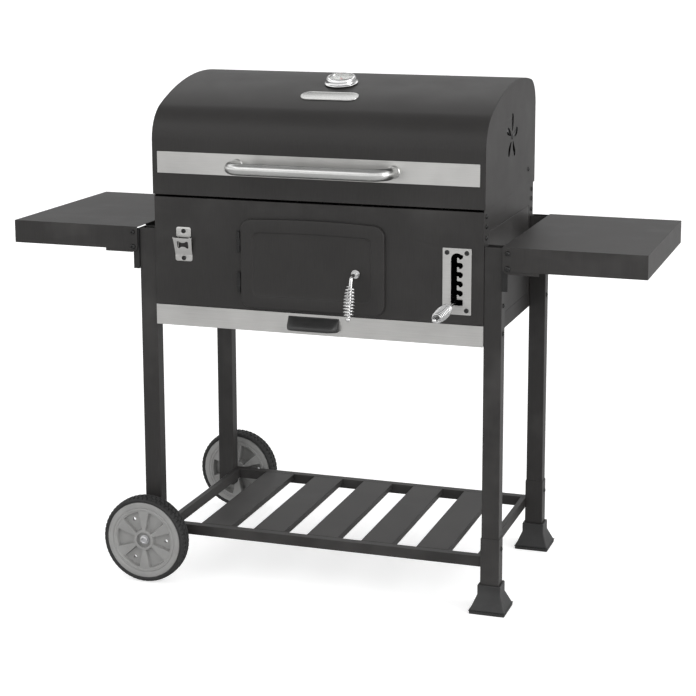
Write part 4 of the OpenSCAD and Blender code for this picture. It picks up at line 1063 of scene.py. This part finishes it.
def camera():
    """Camera at the photograph's viewing angle. The image is 696 by 696."""
    yaw, pitch, roll = math.radians(17.509), math.radians(10.185), math.radians(0.073)
    focal, px, py = 1754.3, 390.6, 243.6
    size = 696
    ahead = Vector((-math.sin(yaw) * math.cos(pitch), math.cos(yaw) * math.cos(pitch), -math.sin(pitch)))
    right = Vector((math.cos(yaw), math.sin(yaw), 0))
    up = right.cross(ahead)
    r = right * math.cos(roll) + up * math.sin(roll)
    u = up * math.cos(roll) - right * math.sin(roll)
    data = bpy.data.cameras.new("camera")
    data.sensor_width = 36
    data.lens = focal / size * 36
    data.shift_x = (size / 2 - px) / size
    data.shift_y = (py - size / 2) / size
    data.clip_start, data.clip_end = 0.1, 60
    cam = bpy.data.objects.new("camera", data)
    bpy.context.scene.collection.objects.link(cam)
    cam.matrix_world = axes((1.2873, FRONT - 3.5321, 1.4723), r, u, -ahead)
    bpy.context.scene.camera = cam


def area_light(name, place, target, size, power):
    data = bpy.data.lights.new(name, "AREA")
    data.shape = "RECTANGLE"
    data.size, data.size_y = size
    data.energy = power
    obj = bpy.data.objects.new(name, data)
    bpy.context.scene.collection.objects.link(obj)
    obj.location = place
    obj.rotation_mode = "QUATERNION"
    obj.rotation_quaternion = (Vector(target) - Vector(place)).to_track_quat("-Z", "Y")


def surroundings():
    """White to the eye; glossy surfaces also reflect a dim wall behind the grill, a band and a ceiling."""
    world = bpy.data.worlds.new("studio")
    world.use_nodes = True
    tree = world.node_tree
    def add(kind):
        return tree.nodes.new(kind)
    def ramp(value, low, high, out_low, out_high):
        node = add("ShaderNodeMapRange")
        node.interpolation_type = "SMOOTHSTEP"
        for key, v in zip(("From Min", "From Max", "To Min", "To Max"), (low, high, out_low, out_high)):
            node.inputs[key].default_value = v
        tree.links.new(value, node.inputs["Value"])
        return node.outputs["Result"]
    def times(a, b):
        node = add("ShaderNodeMath")
        node.operation = "MULTIPLY"
        tree.links.new(a, node.inputs[0])
        tree.links.new(b, node.inputs[1])
        return node.outputs[0]
    parts = add("ShaderNodeSeparateXYZ")
    tree.links.new(add("ShaderNodeTexCoord").outputs["Generated"], parts.inputs[0])
    wall = times(ramp(parts.outputs["Y"], 0.0, 0.6, 0.0, 1.0),
                 ramp(parts.outputs["Z"], 0.25, 0.60, 1.0, 0.0))
    ceiling = ramp(parts.outputs["Z"], 0.62, 0.82, 0.0, 1.0)
    unseen = ramp(add("ShaderNodeLightPath").outputs["Is Camera Ray"], 0.0, 1.0, 1.0, 0.0)
    band = times(ramp(parts.outputs["Z"], 0.22, 0.28, 0.0, 1.0),
                 ramp(parts.outputs["Z"], 0.38, 0.44, 1.0, 0.0))
    strength = ramp(times(wall, unseen), 0.0, 1.0, 1.55, 0.58)
    for dim, left in ((ceiling, 0.22), (band, 0.35)):
        strength = times(strength, ramp(times(dim, unseen), 0.0, 1.0, 1.0, left))
    tree.links.new(strength, tree.nodes["Background"].inputs["Strength"])
    tree.nodes["Background"].inputs["Color"].default_value = (1, 1, 1, 1)
    return world


def studio():
    """Pale floor, white surroundings and soft lights."""
    n = Nodes("pale_floor")
    speck = n.noise(3.0, n.scaled((1, 1, 1)), 2.0)
    colour = n.mix(n.span(speck, 0.3, 0.7, 0.0, 1.0), (0.70, 0.70, 0.70), (0.72, 0.72, 0.72))
    seen = n.add("ShaderNodeLightPath").outputs["Is Camera Ray"]
    floor_material = n.shader(Base_Color=colour, Roughness=0.9, Specular_IOR_Level=0.1,
                              Emission_Color=(1, 1, 1, 1),
                              Emission_Strength=n.span(seen, 0.0, 1.0, 0.0, 0.62))
    bm = bmesh.new()
    bmesh.ops.create_grid(bm, x_segments=2, y_segments=2, size=30)
    mesh = bpy.data.meshes.new("floor")
    bm.to_mesh(mesh)
    bm.free()
    mesh.materials.append(floor_material)
    new_object("floor", mesh)
    bpy.context.scene.world = surroundings()
    area_light("key", (-2.4, -3.2, 3.4), (0, 0, 0.7), (2.4, 2.0), 9)
    area_light("side", (3.6, -0.6, 1.6), (0.2, 0, 0.7), (1.6, 2.4), 52)
    bpy.context.scene.view_settings.view_transform = "Standard"
    

camera()
studio()
build()
